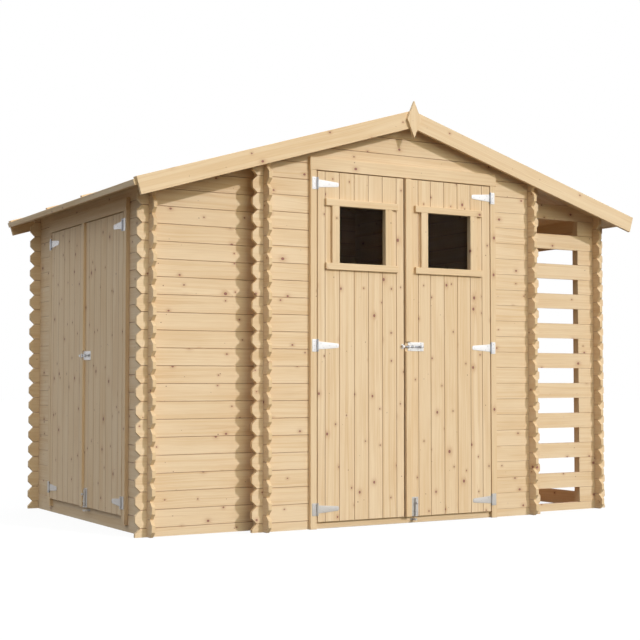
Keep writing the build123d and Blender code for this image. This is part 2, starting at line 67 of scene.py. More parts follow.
# Roof: its slope and boards, and the trim along its edges
PITCH = math.radians(16.84)
STEEPNESS = math.tan(PITCH)
RIDGE = 2.204
ROOF_BOARD = 0.016
ROOF_BOARDS = 23
ROOF_PLAY = 0.0002
ROOF_JOINT = 0.0022
ROOF_END = HUT_FACE + OVERHANG
FASCIA = 0.014
FASCIA_HEIGHT = 0.029
FASCIA_RISE = 0.010
BOARD_END = 1.610 / math.cos(PITCH) - FASCIA
BATTEN_HEIGHT = 0.020
BATTEN_WIDTH = 0.024
BATTEN_GAP = 0.012
BATTEN_SHARES = (0, 0.37, 0.655, 1)
BARGE = 0.018
BARGE_HEIGHT = 0.092
BARGE_GAP = 0.0005
BEAM_HALF = 0.0225
BEAM_HEIGHT = 0.095
BEAM_HEART = (0.02, 0.05)
BEAM_TONE = 0.4
DIAMOND = 0.016
DIAMOND_HALF = (0.045, 0.1015)
DIAMOND_DROP = 0.015
DIAMOND_EDGE = 0.0012

# Half width and depth of the V between boards, and the eased edges of trim
JOINT = 0.0019
JOINT_DEPTH = 0.0023
EASED = 0.0016
PLANK_BEVELS = {"joint": JOINT, "end": 0.0006, "deep": JOINT_DEPTH}
BOARD_BEVELS = {"joint": JOINT, "edge": JOINT, "end": 0.0008, "deep": JOINT_DEPTH}
TRIM_BEVELS = {"edge": EASED, "end": EASED}


def lay(length, height, thickness, origin=(0, 0, 0)):
    """Matrix from a board's own length, height and thickness to the shed."""
    columns = [Vector(length), Vector(height), Vector(thickness), Vector(origin)]
    return Matrix([[c[row] for c in columns] for row in range(3)] + [[0, 0, 0, 1]])


ACROSS = lay((1, 0, 0), (0, 0, 1), (0, 1, 0))
DEEP = lay((0, 1, 0), (0, 0, 1), (1, 0, 0))
FRONT_DOOR = Matrix.Translation((0, -HUT_FACE, 0))
SIDE_DOOR = Matrix.Translation((-END_FACE, 0, 0)) @ Matrix.Rotation(-math.pi / 2, 4, "Z")


# Shader and geometry trees

class Wire:
    """A socket that takes part in sums: every operator adds the Math node that it stands for."""

    def __init__(self, sheet, socket):
        self.sheet = sheet
        self.socket = socket

    def out(self, name):
        """Another output of the same node."""
        return Wire(self.sheet, self.socket.node.outputs[name])

    def __add__(self, other):
        return self.sheet.maths("ADD", self, other)

    def __sub__(self, other):
        return self.sheet.maths("SUBTRACT", self, other)

    def __rsub__(self, other):
        return self.sheet.maths("SUBTRACT", other, self)

    def __mul__(self, other):
        return self.sheet.maths("MULTIPLY", self, other)

    def __truediv__(self, other):
        return self.sheet.maths("DIVIDE", self, other)

    def __neg__(self):
        return self * -1

    __radd__ = __add__
    __rmul__ = __mul__

    def below(self, limit):
        return self.sheet.maths("LESS_THAN", self, limit)

    def clamp(self):
        return self.sheet.maths("ADD", self, 0, use_clamp=True)


class Sheet:
    """A node tree, filled through one method for every kind of node."""

    def __init__(self, tree):
        self.tree = tree

    def add(self, kind, settings=None, sockets=(), out=0):
        node = self.tree.nodes.new(kind)
        for name, value in (settings or {}).items():
            setattr(node, name, value)
        for name, value in sockets.items() if isinstance(sockets, dict) else enumerate(sockets):
            if isinstance(value, Wire):
                self.tree.links.new(value.socket, node.inputs[name])
            else:
                node.inputs[name].default_value = value
        return Wire(self, node.outputs[out]) if node.outputs else node

    def feed(self, shader, links):
        """Links into a node that is there already."""
        for name, wire in links.items():
            self.tree.links.new(wire.socket, shader.inputs[name])

    def maths(self, operation, *values, **settings):
        return self.add("ShaderNodeMath", {"operation": operation, **settings}, values)

    def mix(self, factor, first, second):
        settings = {"data_type": "RGBA", "clamp_factor": True}
        return self.add("ShaderNodeMix", settings, {0: factor, 6: first, 7: second}, 2)

    def vector(self, x, y, z):
        return self.add("ShaderNodeCombineXYZ", None, [x, y, z])

    def parts(self, vector):
        split = self.add("ShaderNodeSeparateXYZ", None, [vector], "X")
        return split, split.out("Y"), split.out("Z")

    def length(self, x, y):
        settings = {"operation": "LENGTH"}
        return self.add("ShaderNodeVectorMath", settings, [self.vector(x, y, 0)], "Value")

    def noise(self, place, scale, detail=2.0, roughness=0.5):
        sockets = {"Vector": place, "Scale": scale, "Detail": detail, "Roughness": roughness}
        return self.add("ShaderNodeTexNoise", None, sockets, "Fac")

    def smooth(self, value, low, high):
        settings = {"interpolation_type": "SMOOTHSTEP"}
        return self.add("ShaderNodeMapRange", settings, [value, low, high, 0.0, 1.0])

    def bump(self, strength, distance, height):
        sockets = {"Strength": strength, "Distance": distance, "Height": height}
        return self.add("ShaderNodeBump", None, sockets)

    def object_place(self):
        return self.add("ShaderNodeTexCoord", None, (), "Object")

    def attribute(self, name, out):
        return self.add("ShaderNodeAttribute", {"attribute_name": name}, (), out)

    def line(self, count, step, start=(0, 0, 0)):
        """Points in a row, in a geometry tree."""
        sockets = {"Count": count, "Start Location": start, "Offset": step}
        return self.add("GeometryNodeMeshLine", {"mode": "OFFSET"}, sockets)

    def store(self, geometry, name, kind, domain, value):
        settings = {"data_type": kind, "domain": domain}
        sockets = {"Geometry": geometry, "Name": name, "Value": value}
        return self.add("GeometryNodeStoreNamedAttribute", settings, sockets)

    def random_number(self, high, seed):
        sockets = {2: 0.0, 3: high, "Seed": seed}
        return self.add("FunctionNodeRandomValue", {"data_type": "FLOAT"}, sockets, 1)

    def hand_over(self, geometry, finish):
        """End of a geometry tree: its result in the given finish."""
        sockets = {"Geometry": geometry, "Material": finish}
        self.add("NodeGroupOutput", None, [self.add("GeometryNodeSetMaterial", None, sockets)])


def paint(red, green, blue):
    """Colour of 0 to 255 values as they look on a screen."""
    def linear(value):
        share = value / 255
        return share / 12.92 if share <= 0.04045 else ((share + 0.055) / 1.055) ** 2.4
    return (linear(red), linear(green), linear(blue), 1.0)


def material(name):
    """New material with its sheet and its shader."""
    made = bpy.data.materials.new(name)
    made.use_nodes = True
    return made, Sheet(made.node_tree), made.node_tree.nodes["Principled BSDF"]


# Wood: tones of its figure, width of a growth ring, and knots by the cell of board that may hold one
LATE_WOOD = paint(184, 134, 84)
DARK_FIBRE = paint(196, 152, 104)
RESIN_STREAK = paint(190, 140, 96)
DARK_BOARD = paint(196, 158, 108)
PALE_BOARD = paint(255, 244, 222)
KNOT_HALO = paint(176, 122, 84)
KNOT_EYE = paint(146, 84, 80)
KNOT_RIM = paint(106, 46, 58)
PIN_KNOT = paint(124, 66, 66)
SAWN_END = paint(230, 200, 154)
SAWN_RING = paint(188, 144, 96)
# faces of the V between boards are darker partly for dirt in the joints and partly as painted shade in the
# groove
JOINT_DIRT_AND_SHADE = paint(158, 112, 96)
RING_WIDTH = 0.0058
KNOTS = {"cell": (0.24, 0.089), "small": 0.0032, "large": 0.0076, "stretch": 0.78}
PINS = {"cell": (0.21, 0.06), "small": 0.0017, "large": 0.0036, "stretch": 0.85}
PIN_CHANCE = 0.30
PIN_SHIFT = (7.3, 0.031)

# Marks of cut faces in the attribute end, and the limits by which the wood tells them apart
CUT_MARKS = {"end": 1.0, "joint": 0.5}
SAWN_LIMIT = 0.7
JOINT_LIMIT = 0.2

# Zinc: small marks, and a painted reflection of the darker ground, full below the first height and fading out
# by the second
ZINC_MARK = paint(150, 152, 156)
PAINTED_GROUND_REFLECTION = paint(168, 163, 158)
GROUND_REFLECTION_FROM = 0.12
GROUND_REFLECTION_TO = 0.62


def knots(sheet, along, across, chance, cell, small, large, stretch):
    """Knots strewn over a board: each point's distance from its knot in radii, and whether it has one."""
    sockets = {"Vector": sheet.vector(along / cell[0], across / cell[1], 0), "Scale": 1.0, "Randomness": 0.9}
    settings = {"voronoi_dimensions": "2D", "feature": "F1"}
    place = sheet.add("ShaderNodeTexVoronoi", settings, sockets, "Position")
    place_along, place_across, _ = sheet.parts(place)
    luck, size, _ = sheet.parts(place.out("Color"))
    off_along = (along - place_along * cell[0]) * stretch
    off_across = across - place_across * cell[1]
    radius = small + (large - small) * size * size
    return sheet.length(off_along, off_across) / radius, luck.below(chance)


def spruce(name, pale, honey, figure, knot_chance):
    """Planed softwood: growth rings about each board's own heart, fibre streaks, knots and end grain."""
    made, sheet, shader = material(name)
    along, across, depth = sheet.parts(sheet.attribute("grain", "Vector"))
    tone = sheet.attribute("tone", "Fac")
    end = sheet.attribute("end", "Fac")
    sawn = sheet.maths("GREATER_THAN", end, SAWN_LIMIT)
    # faces of the V between boards, which get the joint colour: partly dirt, partly painted shade of the
    # groove
    joint = sheet.maths("GREATER_THAN", end, JOINT_LIMIT) - sawn

    def streaked(lengthwise, crosswise, roughness=0.5):
        place = sheet.vector(along * lengthwise, across * crosswise, depth * crosswise)
        return sheet.noise(place, 1.0, 2.0, roughness)

    far, there = knots(sheet, along, across, knot_chance, **KNOTS)
    pin_far, pin_there = knots(sheet, along + PIN_SHIFT[0], across + PIN_SHIFT[1], PIN_CHANCE, **PINS)
    halo = sheet.maths("EXPONENT", -(far / 2.7) * (far / 2.7)) * there
    drift = streaked(1.1, 4) - 0.5
    wave = streaked(6, 14) - 0.5
    fibre = streaked(11, 520)
    cloud = streaked(2.2, 11)
    streak = sheet.smooth(streaked(0.9, 75, 0.4), 0.66, 0.8)

    heart = sheet.length(across + drift * 0.055, depth)
    rings = heart + along * 0.0035 + wave * 0.0035 + halo * 0.0055
    ring = sheet.maths("FRACT", rings / RING_WIDTH)
    late = ring * ring * ring * sheet.smooth(1 - ring, 0.0, 0.14)
    band = sheet.noise(sheet.vector(along * 0.5, rings * 95, 0.0), 1.0, 3.0, 0.6)
    figured = figure * (0.35 + 0.9 * sheet.smooth(cloud + (tone - 0.5) * 0.5, 0.36, 0.74))
    shade = 0.5 + (tone - 0.5) * 0.9
    knot = sheet.smooth(1.12 - far, 0.0, 0.34) * there
    pin = sheet.smooth(1.15 - pin_far, 0.0, 0.5) * pin_there

    colour = sheet.mix(sheet.smooth(band + (cloud - 0.5) * 0.5, 0.32, 0.72), pale, honey)
    eye = sheet.mix(sheet.smooth(far, 0.25, 0.95), KNOT_EYE, KNOT_RIM)
    layers = ((late * figured, LATE_WOOD), ((fibre - 0.5) * 0.5 + 0.08, DARK_FIBRE),
              (streak * 0.22, RESIN_STREAK), (0.08, sheet.mix(shade, DARK_BOARD, PALE_BOARD)),
              (halo * 0.42, KNOT_HALO), (knot * 0.84, eye), (pin * 0.7, PIN_KNOT),
              (sawn * 0.55, sheet.mix(late, SAWN_END, SAWN_RING)), (joint * 0.42, JOINT_DIRT_AND_SHADE))
    for share, layer in layers:
        colour = sheet.mix(share, colour, layer)
    bump = sheet.bump(0.35, 0.0007, fibre * 0.35 + late * 0.5 - knot * 0.4)
    rough = 0.56 + fibre * 0.1 + late * 0.08
    shader.inputs["Specular IOR Level"].default_value = 0.28
    sheet.feed(shader, {"Base Color": colour, "Roughness": rough, "Normal": bump})
    return made


def galvanised(name, bright, dull, low, high):
    """Zinc on steel: pale crystals, a soft shine, and a painted reflection of the darker ground that greys
    the fittings low down.
    """
    made, sheet, shader = material(name)
    place = sheet.object_place()
    height = sheet.parts(place)[2]
    cells = sheet.add("ShaderNodeTexVoronoi", None, {"Vector": place, "Scale": 160.0}, "Color")
    crystal = sheet.parts(cells)[0]
    cloud = sheet.noise(place, 45.0, 3.0)
    mark = sheet.smooth(sheet.noise(place, 210.0), 0.6, 0.78)
    # painted reflection: the zinc turns greyer towards the floor, standing in for the darker ground that it
    # would mirror
    ground_reflection = 1 - sheet.smooth(height + (cloud - 0.5) * 0.2, GROUND_REFLECTION_FROM, GROUND_REFLECTION_TO)
    colour = sheet.mix(crystal * 0.55 + cloud * 0.45, dull, bright)
    colour = sheet.mix(mark * 0.25, colour, ZINC_MARK)
    colour = sheet.mix(ground_reflection * 0.7, colour, PAINTED_GROUND_REFLECTION)
    rough = low + (high - low) * (cloud * 0.6 + crystal * 0.4)
    bump = sheet.bump(0.12, 0.0004, cloud + mark * 0.3)
    shader.inputs["Metallic"].default_value = 0.85
    sheet.feed(shader, {"Base Color": colour, "Roughness": rough, "Normal": bump})
    return made


def window_pane(name):
    """Clear glass with a trace of dust."""
    made, sheet, shader = material(name)
    dust = sheet.smooth(sheet.noise(sheet.object_place(), 22.0, 4.0, 0.6), 0.45, 0.8)
    shader.inputs["Base Color"].default_value = (0.78, 0.74, 0.70, 1.0)
    shader.inputs["Transmission Weight"].default_value = 1.0
    shader.inputs["IOR"].default_value = 1.12
    sheet.feed(shader, {"Roughness": 0.01 + dust * 0.05})
    return made


WALL = spruce("wall_planks", paint(236, 212, 179), paint(226, 196, 156), 0.34, 0.58)
DOOR = spruce("door_boards", paint(236, 211, 177), paint(225, 194, 154), 0.30, 0.86)
TRIM = spruce("trim_wood", paint(235, 209, 173), paint(226, 195, 154), 0.22, 0.36)
ROOF = spruce("roof_wood", paint(230, 203, 164), paint(218, 185, 140), 0.30, 0.50)
STEEL = galvanised("galvanised_steel", paint(222, 220, 220), paint(206, 205, 206), 0.66, 0.80)
SCREW = galvanised("screw_steel", paint(206, 206, 208), paint(178, 179, 183), 0.42, 0.56)
# Darker zinc of the knuckles, the latch bolt and the knobs: on the knuckles it is painted shade, standing in
# for the shaded flank of each barrel
PIN = galvanised("pin_steel", paint(174, 175, 181), paint(138, 140, 147), 0.50, 0.64)
GLASS = window_pane("window_glass")


# Solids

def skin(mesh, rings, capped=True):
    """Side faces between rings of vertices, and the two caps; without caps the last ring joins the first."""
    count = len(rings[0])
    sides = []
    for lower, upper in zip(rings, rings[1:] if capped else rings[1:] + rings[:1]):
        for i in range(count):
            j = (i + 1) % count
            sides.append(mesh.faces.new((lower[i], lower[j], upper[j], upper[i])))
    caps = [mesh.faces.new(rings[0][::-1]), mesh.faces.new(rings[-1])] if capped else []
    return sides, caps


def inset_corner(before, point, after, first, second):
    """How a corner shifts when the edge before it moves in by first and the edge after it by second."""
    a = (point[0] - before[0], point[1] - before[1])
    b = (after[0] - point[0], after[1] - point[1])
    a_long, b_long = math.hypot(*a), math.hypot(*b)
    n = (-a[1] / a_long, a[0] / a_long)
    m = (-b[1] / b_long, b[0] / b_long)
    cross = n[0] * m[1] - n[1] * m[0]
    if abs(cross) < 1e-4:
        return (n[0] * max(first, second), n[1] * max(first, second))
    return ((first * m[1] - second * n[1]) / cross, (second * n[0] - first * m[0]) / cross)


def slab(mesh, outline, low, high, place, bevels, rounded=False):
    """Solid on an outline of (length, height, kind of the edge that follows), its rims bevelled edge by edge.

    Gives the new vertices with their place on the board, and the new faces with their kind of edge."""
    shifts = []
    for i, point in enumerate(outline):
        before, after = outline[i - 1], outline[(i + 1) % len(outline)]
        widths = (bevels.get(before[2], 0), bevels.get(point[2], 0))
        shifts.append(inset_corner(before, point, after, *widths))
    deep = bevels.get("deep", max(bevels.get(point[2], 0) for point in outline))
    steps = [(1, 0), (0.3, 0.3), (0, 1)] if rounded else [(1, 0), (0, 1)]
    if deep == 0:
        steps = [(0, 0)]
    levels = [(share, low + deep * down) for share, down in steps]
    levels += [(share, high - deep * down) for share, down in reversed(steps)]
    made, rings = [], []
    for share, w in levels:
        owns = [Vector((u + du * share, v + dv * share, w)) for (u, v, _), (du, dv) in zip(outline, shifts)]
        rings.append([mesh.verts.new(place @ own) for own in owns])
        made += zip(rings[-1], owns)
    sides, caps = skin(mesh, rings)
    kinds = [point[2] for point in outline] * (len(rings) - 1)
    return made, list(zip(sides, kinds)) + [(cap, "face") for cap in caps]


def rectangle(u0, u1, v0, v1, ends="end", sides="edge"):
    """Outline of a plain board, anticlockwise: its sides run along its length."""
    return [(u0, v0, sides), (u1, v0, ends), (u1, v1, sides), (u0, v1, ends)]


def plank_outline(start, stop, low, high, saw_start, saw_stop, crossings, whole):
    """Log plank seen from the side: chamfered where it crosses another wall, notched for that wall's planks.

    The half plank at the ground is not whole: its lower edge is plain."""
    low, high = low + JOINT_PLAY, high - JOINT_PLAY
    cut = END_CHAMFER
    spans = [(a - NOTCH_PLAY, b + NOTCH_PLAY) for a, b in crossings]
    points = [(start + cut, low, "joint") if saw_start and whole else (start, low, "edge")]
    for a, b in spans if whole else []:
        points += [(a, low, "cut"), (a, low + NOTCH, "cut"), (b, low + NOTCH, "cut"), (b, low, "joint")]
    if saw_stop:
        points += [(stop - cut, low, "end"), (stop, low + cut, "end")] if whole else [(stop, low, "end")]
        points += [(stop, high - cut, "end"), (stop - cut, high, "joint")]
    else:
        points += [(stop, low, "cut"), (stop, high, "joint")]
    for a, b in reversed(spans):
        points += [(b, high, "cut"), (b, high - NOTCH, "cut"), (a, high - NOTCH, "cut"), (a, high, "joint")]
    if saw_start:
        points += [(start + cut, high, "end"), (start, high - cut, "end")]
        points += [(start, low + cut, "end")] if whole else []
    else:
        points += [(start, high, "cut")]
    return points


def clipped(outline, inside, least=0.0008):
    """The part of an outline where inside(u, v) is not negative, without edges shorter than the least."""
    kept = []
    for i, (u, v, kind) in enumerate(outline):
        nu, nv, _ = outline[(i + 1) % len(outline)]
        here, there = inside(u, v), inside(nu, nv)
        if here >= 0:
            kept.append((u, v, kind))
        if (here >= 0) != (there >= 0):
            t = here / (here - there)
            kept.append((u + (nu - u) * t, v + (nv - v) * t, "cut" if here >= 0 else kind))
    tidy = []
    for point in kept:
        if not tidy or math.dist(point[:2], tidy[-1][:2]) > least:
            tidy.append(point)
    while len(tidy) > 2 and math.dist(tidy[0][:2], tidy[-1][:2]) <= least:
        tidy.pop()
    return tidy if len(tidy) > 2 else []


# What repeats, by geometry nodes

SEEDS = 10000
HEART = 0.03
GRAIN_LOW = (-40.0, -0.022, -0.016)
GRAIN_HIGH = (40.0, 0.022, 0.02)


def repeat_tree(name, inputs):
    """New geometry tree that takes a shape and named values: its sheet, what it is given, its identifiers."""
    tree = bpy.data.node_groups.new(name, "GeometryNodeTree")
    tree.interface.new_socket("Shape", in_out="INPUT", socket_type="NodeSocketGeometry")
    identifiers = {}
    for label, kind in inputs.items():
        socket = tree.interface.new_socket(label, in_out="INPUT", socket_type="NodeSocket" + kind)
        identifiers[label] = socket.identifier
    tree.interface.new_socket("Copies", in_out="OUTPUT", socket_type="NodeSocketGeometry")
    sheet = Sheet(tree)
    return sheet, sheet.add("NodeGroupInput", None, (), "Shape"), identifiers


def board_row_tree():
    """Tree that repeats one board by steps, and gives every copy its own tone and place in the grain."""
    inputs = {"Count": "Int", "Step": "Vector", "Seed": "Int", "Finish": "Material"}
    sheet, given, identifiers = repeat_tree("board_row", inputs)
    seed = given.out("Seed")
    points = sheet.line(given.out("Count"), given.out("Step"))
    rows = sheet.add("GeometryNodeInstanceOnPoints", None, {"Points": points, "Instance": given})
    luck = sheet.add("FunctionNodeRandomValue", {"data_type": "FLOAT_VECTOR"},
                     {0: GRAIN_LOW, 1: GRAIN_HIGH, "Seed": seed})
    rows = sheet.store(rows, "luck", "FLOAT_VECTOR", "INSTANCE", luck)
    rows = sheet.store(rows, "tone", "FLOAT", "INSTANCE", sheet.random_number(1.0, seed))
    rows = sheet.add("GeometryNodeRealizeInstances", None, [rows])
    reader = "GeometryNodeInputNamedAttribute"
    read = [sheet.add(reader, {"data_type": "FLOAT_VECTOR"}, {"Name": name}, "Attribute")
            for name in ("grain", "luck")]
    moved = sheet.add("ShaderNodeVectorMath", {"operation": "ADD"}, read, "Vector")
    rows = sheet.store(rows, "grain", "FLOAT_VECTOR", "POINT", moved)
    rows = sheet.add("GeometryNodeRemoveAttribute", None, {"Geometry": rows, "Name": "luck"})
    sheet.hand_over(rows, given.out("Finish"))
    return sheet.tree, identifiers


def screw_rows_tree():
    """Tree that sets one screw in rows and columns, and turns every head by chance."""
    inputs = {"First": "Vector", "Count": "Int", "Step": "Vector", "Rows": "Int", "Row Step": "Vector",
              "Seed": "Int", "Finish": "Material"}
    sheet, given, identifiers = repeat_tree("screw_rows", inputs)
    row = sheet.line(given.out("Count"), given.out("Step"), given.out("First"))
    rows = sheet.line(given.out("Rows"), given.out("Row Step"))
    places = sheet.add("GeometryNodeInstanceOnPoints", None, {"Points": rows, "Instance": row})
    places = sheet.add("GeometryNodeRealizeInstances", None, [places])
    turn = sheet.vector(0.0, sheet.random_number(math.pi, given.out("Seed")), 0.0)
    sockets = {"Points": places, "Instance": given, "Rotation": turn}
    heads = sheet.add("GeometryNodeInstanceOnPoints", None, sockets)
    heads = sheet.add("GeometryNodeRealizeInstances", None, [heads])
    sheet.hand_over(heads, given.out("Finish"))
    return sheet.tree, identifiers


BOARD_ROW = board_row_tree()
SCREW_ROWS = screw_rows_tree()


def add_copies(mesh, shape, repeat, values):
    """Adds to a mesh what a geometry tree makes of a shape, and gives the new faces."""
    tree, identifiers = repeat
    single = bpy.data.meshes.new("single")
    shape.to_mesh(single)
    shape.free()
    holder = bpy.data.objects.new("holder", single)
    scene.collection.objects.link(holder)
    change = holder.modifiers.new("repeat", "NODES")
    change.node_group = tree
    for label, value in values.items():
        change[identifiers[label]] = value
    bpy.context.view_layer.update()
    graph = bpy.context.evaluated_depsgraph_get()
    copies = bpy.data.meshes.new_from_object(holder.evaluated_get(graph), preserve_all_data_layers=True,
                                             depsgraph=graph)
    holder.modifiers.remove(change)
    bpy.data.objects.remove(holder)
    before = len(mesh.faces)
    mesh.from_mesh(copies)
    mesh.faces.ensure_lookup_table()
    for used in (single, copies):
        bpy.data.meshes.remove(used)
    return mesh.faces[before:]


# Pieces

def finished(name, mesh, finishes, body, node):
    """The finished piece, riding on its body in place of its node."""
    bmesh.ops.recalc_face_normals(mesh, faces=mesh.faces[:])
    data = bpy.data.meshes.new(name)
    mesh.to_mesh(data)
    mesh.free()
    for finish in finishes:
        data.materials.append(finish)
    piece = bpy.data.objects.new(name, data)
    scene.collection.objects.link(piece)
    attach(piece, body)
    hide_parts(node)
    return piece


class Timber:
    """A piece of joinery: boards gathered in one mesh, each with its own grain and tone."""

    def __init__(self, name, finish, seed):
        self.name = name
        self.finish = finish
        self.luck = random.Random(seed)
        self.mesh = bmesh.new()
        self.grain = self.mesh.verts.layers.float_vector.new("grain")
        self.tone = self.mesh.verts.layers.float.new("tone")
        self.end = self.mesh.faces.layers.float.new("end")

    def board(self, outline, low, high, place, bevels, rounded=False, upright=False, spread=True):
        """One board, whose new vertices it gives; upright means that the grain runs along its height."""
        if not outline:
            return []
        made, faces = slab(self.mesh, outline, low, high, place, bevels, rounded)
        us, vs, _ = zip(*outline)
        middle = Vector(((min(us) + max(us)) / 2, (min(vs) + max(vs)) / 2, high))
        shift = Vector((0, 0, HEART))
        tone = 0.5
        if spread:
            shift += Vector([self.luck.uniform(least, most) for least, most in zip(GRAIN_LOW, GRAIN_HIGH)])
            tone = self.luck.random()
        for vert, own in made:
            u, v, w = own - middle
            vert[self.grain] = Vector((v, u, w) if upright else (u, v, w)) + shift
            vert[self.tone] = tone
        for face, kind in faces:
            face[self.end] = CUT_MARKS.get(kind, 0.0)
        return [vert for vert, own in made]

    def row(self, outline, low, high, place, bevels, count, step):
        """The same board again and again, by the board row tree."""
        one = Timber("one", self.finish, 0)
        one.board(outline, low, high, place, bevels, spread=False)
        values = {"Count": count, "Step": step, "Seed": self.luck.randrange(SEEDS), "Finish": self.finish}
        add_copies(self.mesh, one.mesh, BOARD_ROW, values)

    def done(self, body, slot, node):
        finished(self.name, self.mesh, [self.finish], body, node)


def boxes(node):
    """Lowest and highest corner of every solid of a node, in the order of their places."""
    mesh = bmesh.new()
    mesh.from_mesh(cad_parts[node].data)
    bmesh.ops.remove_doubles(mesh, verts=mesh.verts[:], dist=1e-5)
    left = set(mesh.verts)
    found = []
    while left:
        stack, island = [left.pop()], []
        while stack:
            vert = stack.pop()
            island.append(vert.co.copy())
            near = {edge.other_vert(vert) for edge in vert.link_edges} & left
            left -= near
            stack += near
        found.append([Vector([pick(p[i] for p in island) for i in range(3)]) for pick in (min, max)])
    mesh.free()
    return sorted(found, key=lambda pair: tuple(round(c, 4) for c in pair[0]))


def plain_boards(name, node, seed, body, grain):
    """Eased boards in the places of a node's box-shaped solids; grain is the axis that they run along."""
    timber = Timber(name, TRIM, seed)
    run = "xyz".index(grain)
    for low, high in boxes(node):
        thin = min((i for i in range(3) if i != run), key=lambda i: high[i] - low[i])
        wide = 3 - thin - run
        place = lay(*[Matrix.Identity(3)[axis] for axis in (run, wide, thin)])
        outline = rectangle(low[run], high[run], low[wide], high[wide])
        timber.board(outline, low[thin], high[thin], place, TRIM_BEVELS, True)
    timber.done(body, "trim_wood", node)


# Log plank walls: how a wall lies and the top of its lowest plank in courses, and which plank ends are sawn

LONG = (ACROSS, 0.5)
CROSS = (DEEP, 1.0)
START, STOP, BOTH = (True, False), (False, True), (True, True)

# Rows at which the gable and the tops of the end walls begin, and how many rows each kind of wall has
GABLE_ROW = 21
GABLE_ROWS = 26
SIDE_ROWS = 22
BAY_ROWS = 23
BAY_CUT = 20
END_ROW = 18
END_ROWS = 20


def under_roof(x):
    return RIDGE - abs(x) * STEEPNESS


def planks(timber, wall, face, start, stop, saws, crossings, rows, whole=(1, 0), every=1):
    """Rows of planks, cut to the roof. From the first row of whole to the last, each copies the row below."""
    place, lowest = wall
    first, last = whole
    cuts = [lambda x, z: RIDGE + x * STEEPNESS - z, lambda x, z: RIDGE - x * STEEPNESS - z]
    if wall is CROSS:
        top = max(under_roof(face), under_roof(face + PLANK))
        cuts = [lambda y, z: top - z]

    def outline(row):
        low, high = max(0.0, (row - 1 + lowest) * COURSE), (row + lowest) * COURSE
        return plank_outline(start, stop, low, high, *saws, crossings, row + lowest >= 1)

    for row in rows:
        if first <= row <= last:
            continue
        left = outline(row)
        for inside in cuts:
            left = clipped(left, inside)
        for vert in timber.board(left, face, face + PLANK, place, PLANK_BEVELS):
            vert.co.z = min(vert.co.z, under_roof(vert.co.x))
    if first <= last:
        count = (last - first) // every + 1
        timber.row(outline(first), face, face + PLANK, place, PLANK_BEVELS, count, (0, 0, every * COURSE))


def build_wall(name, seed, node, *runs):
    timber = Timber(name, WALL, seed)
    for run in runs:
        planks(timber, *run)
    timber.done("shed", "wall_planks", node)


def at(face):
    """Span of a plank that another wall crosses, from the plank's lower face."""
    return (face, face + PLANK)


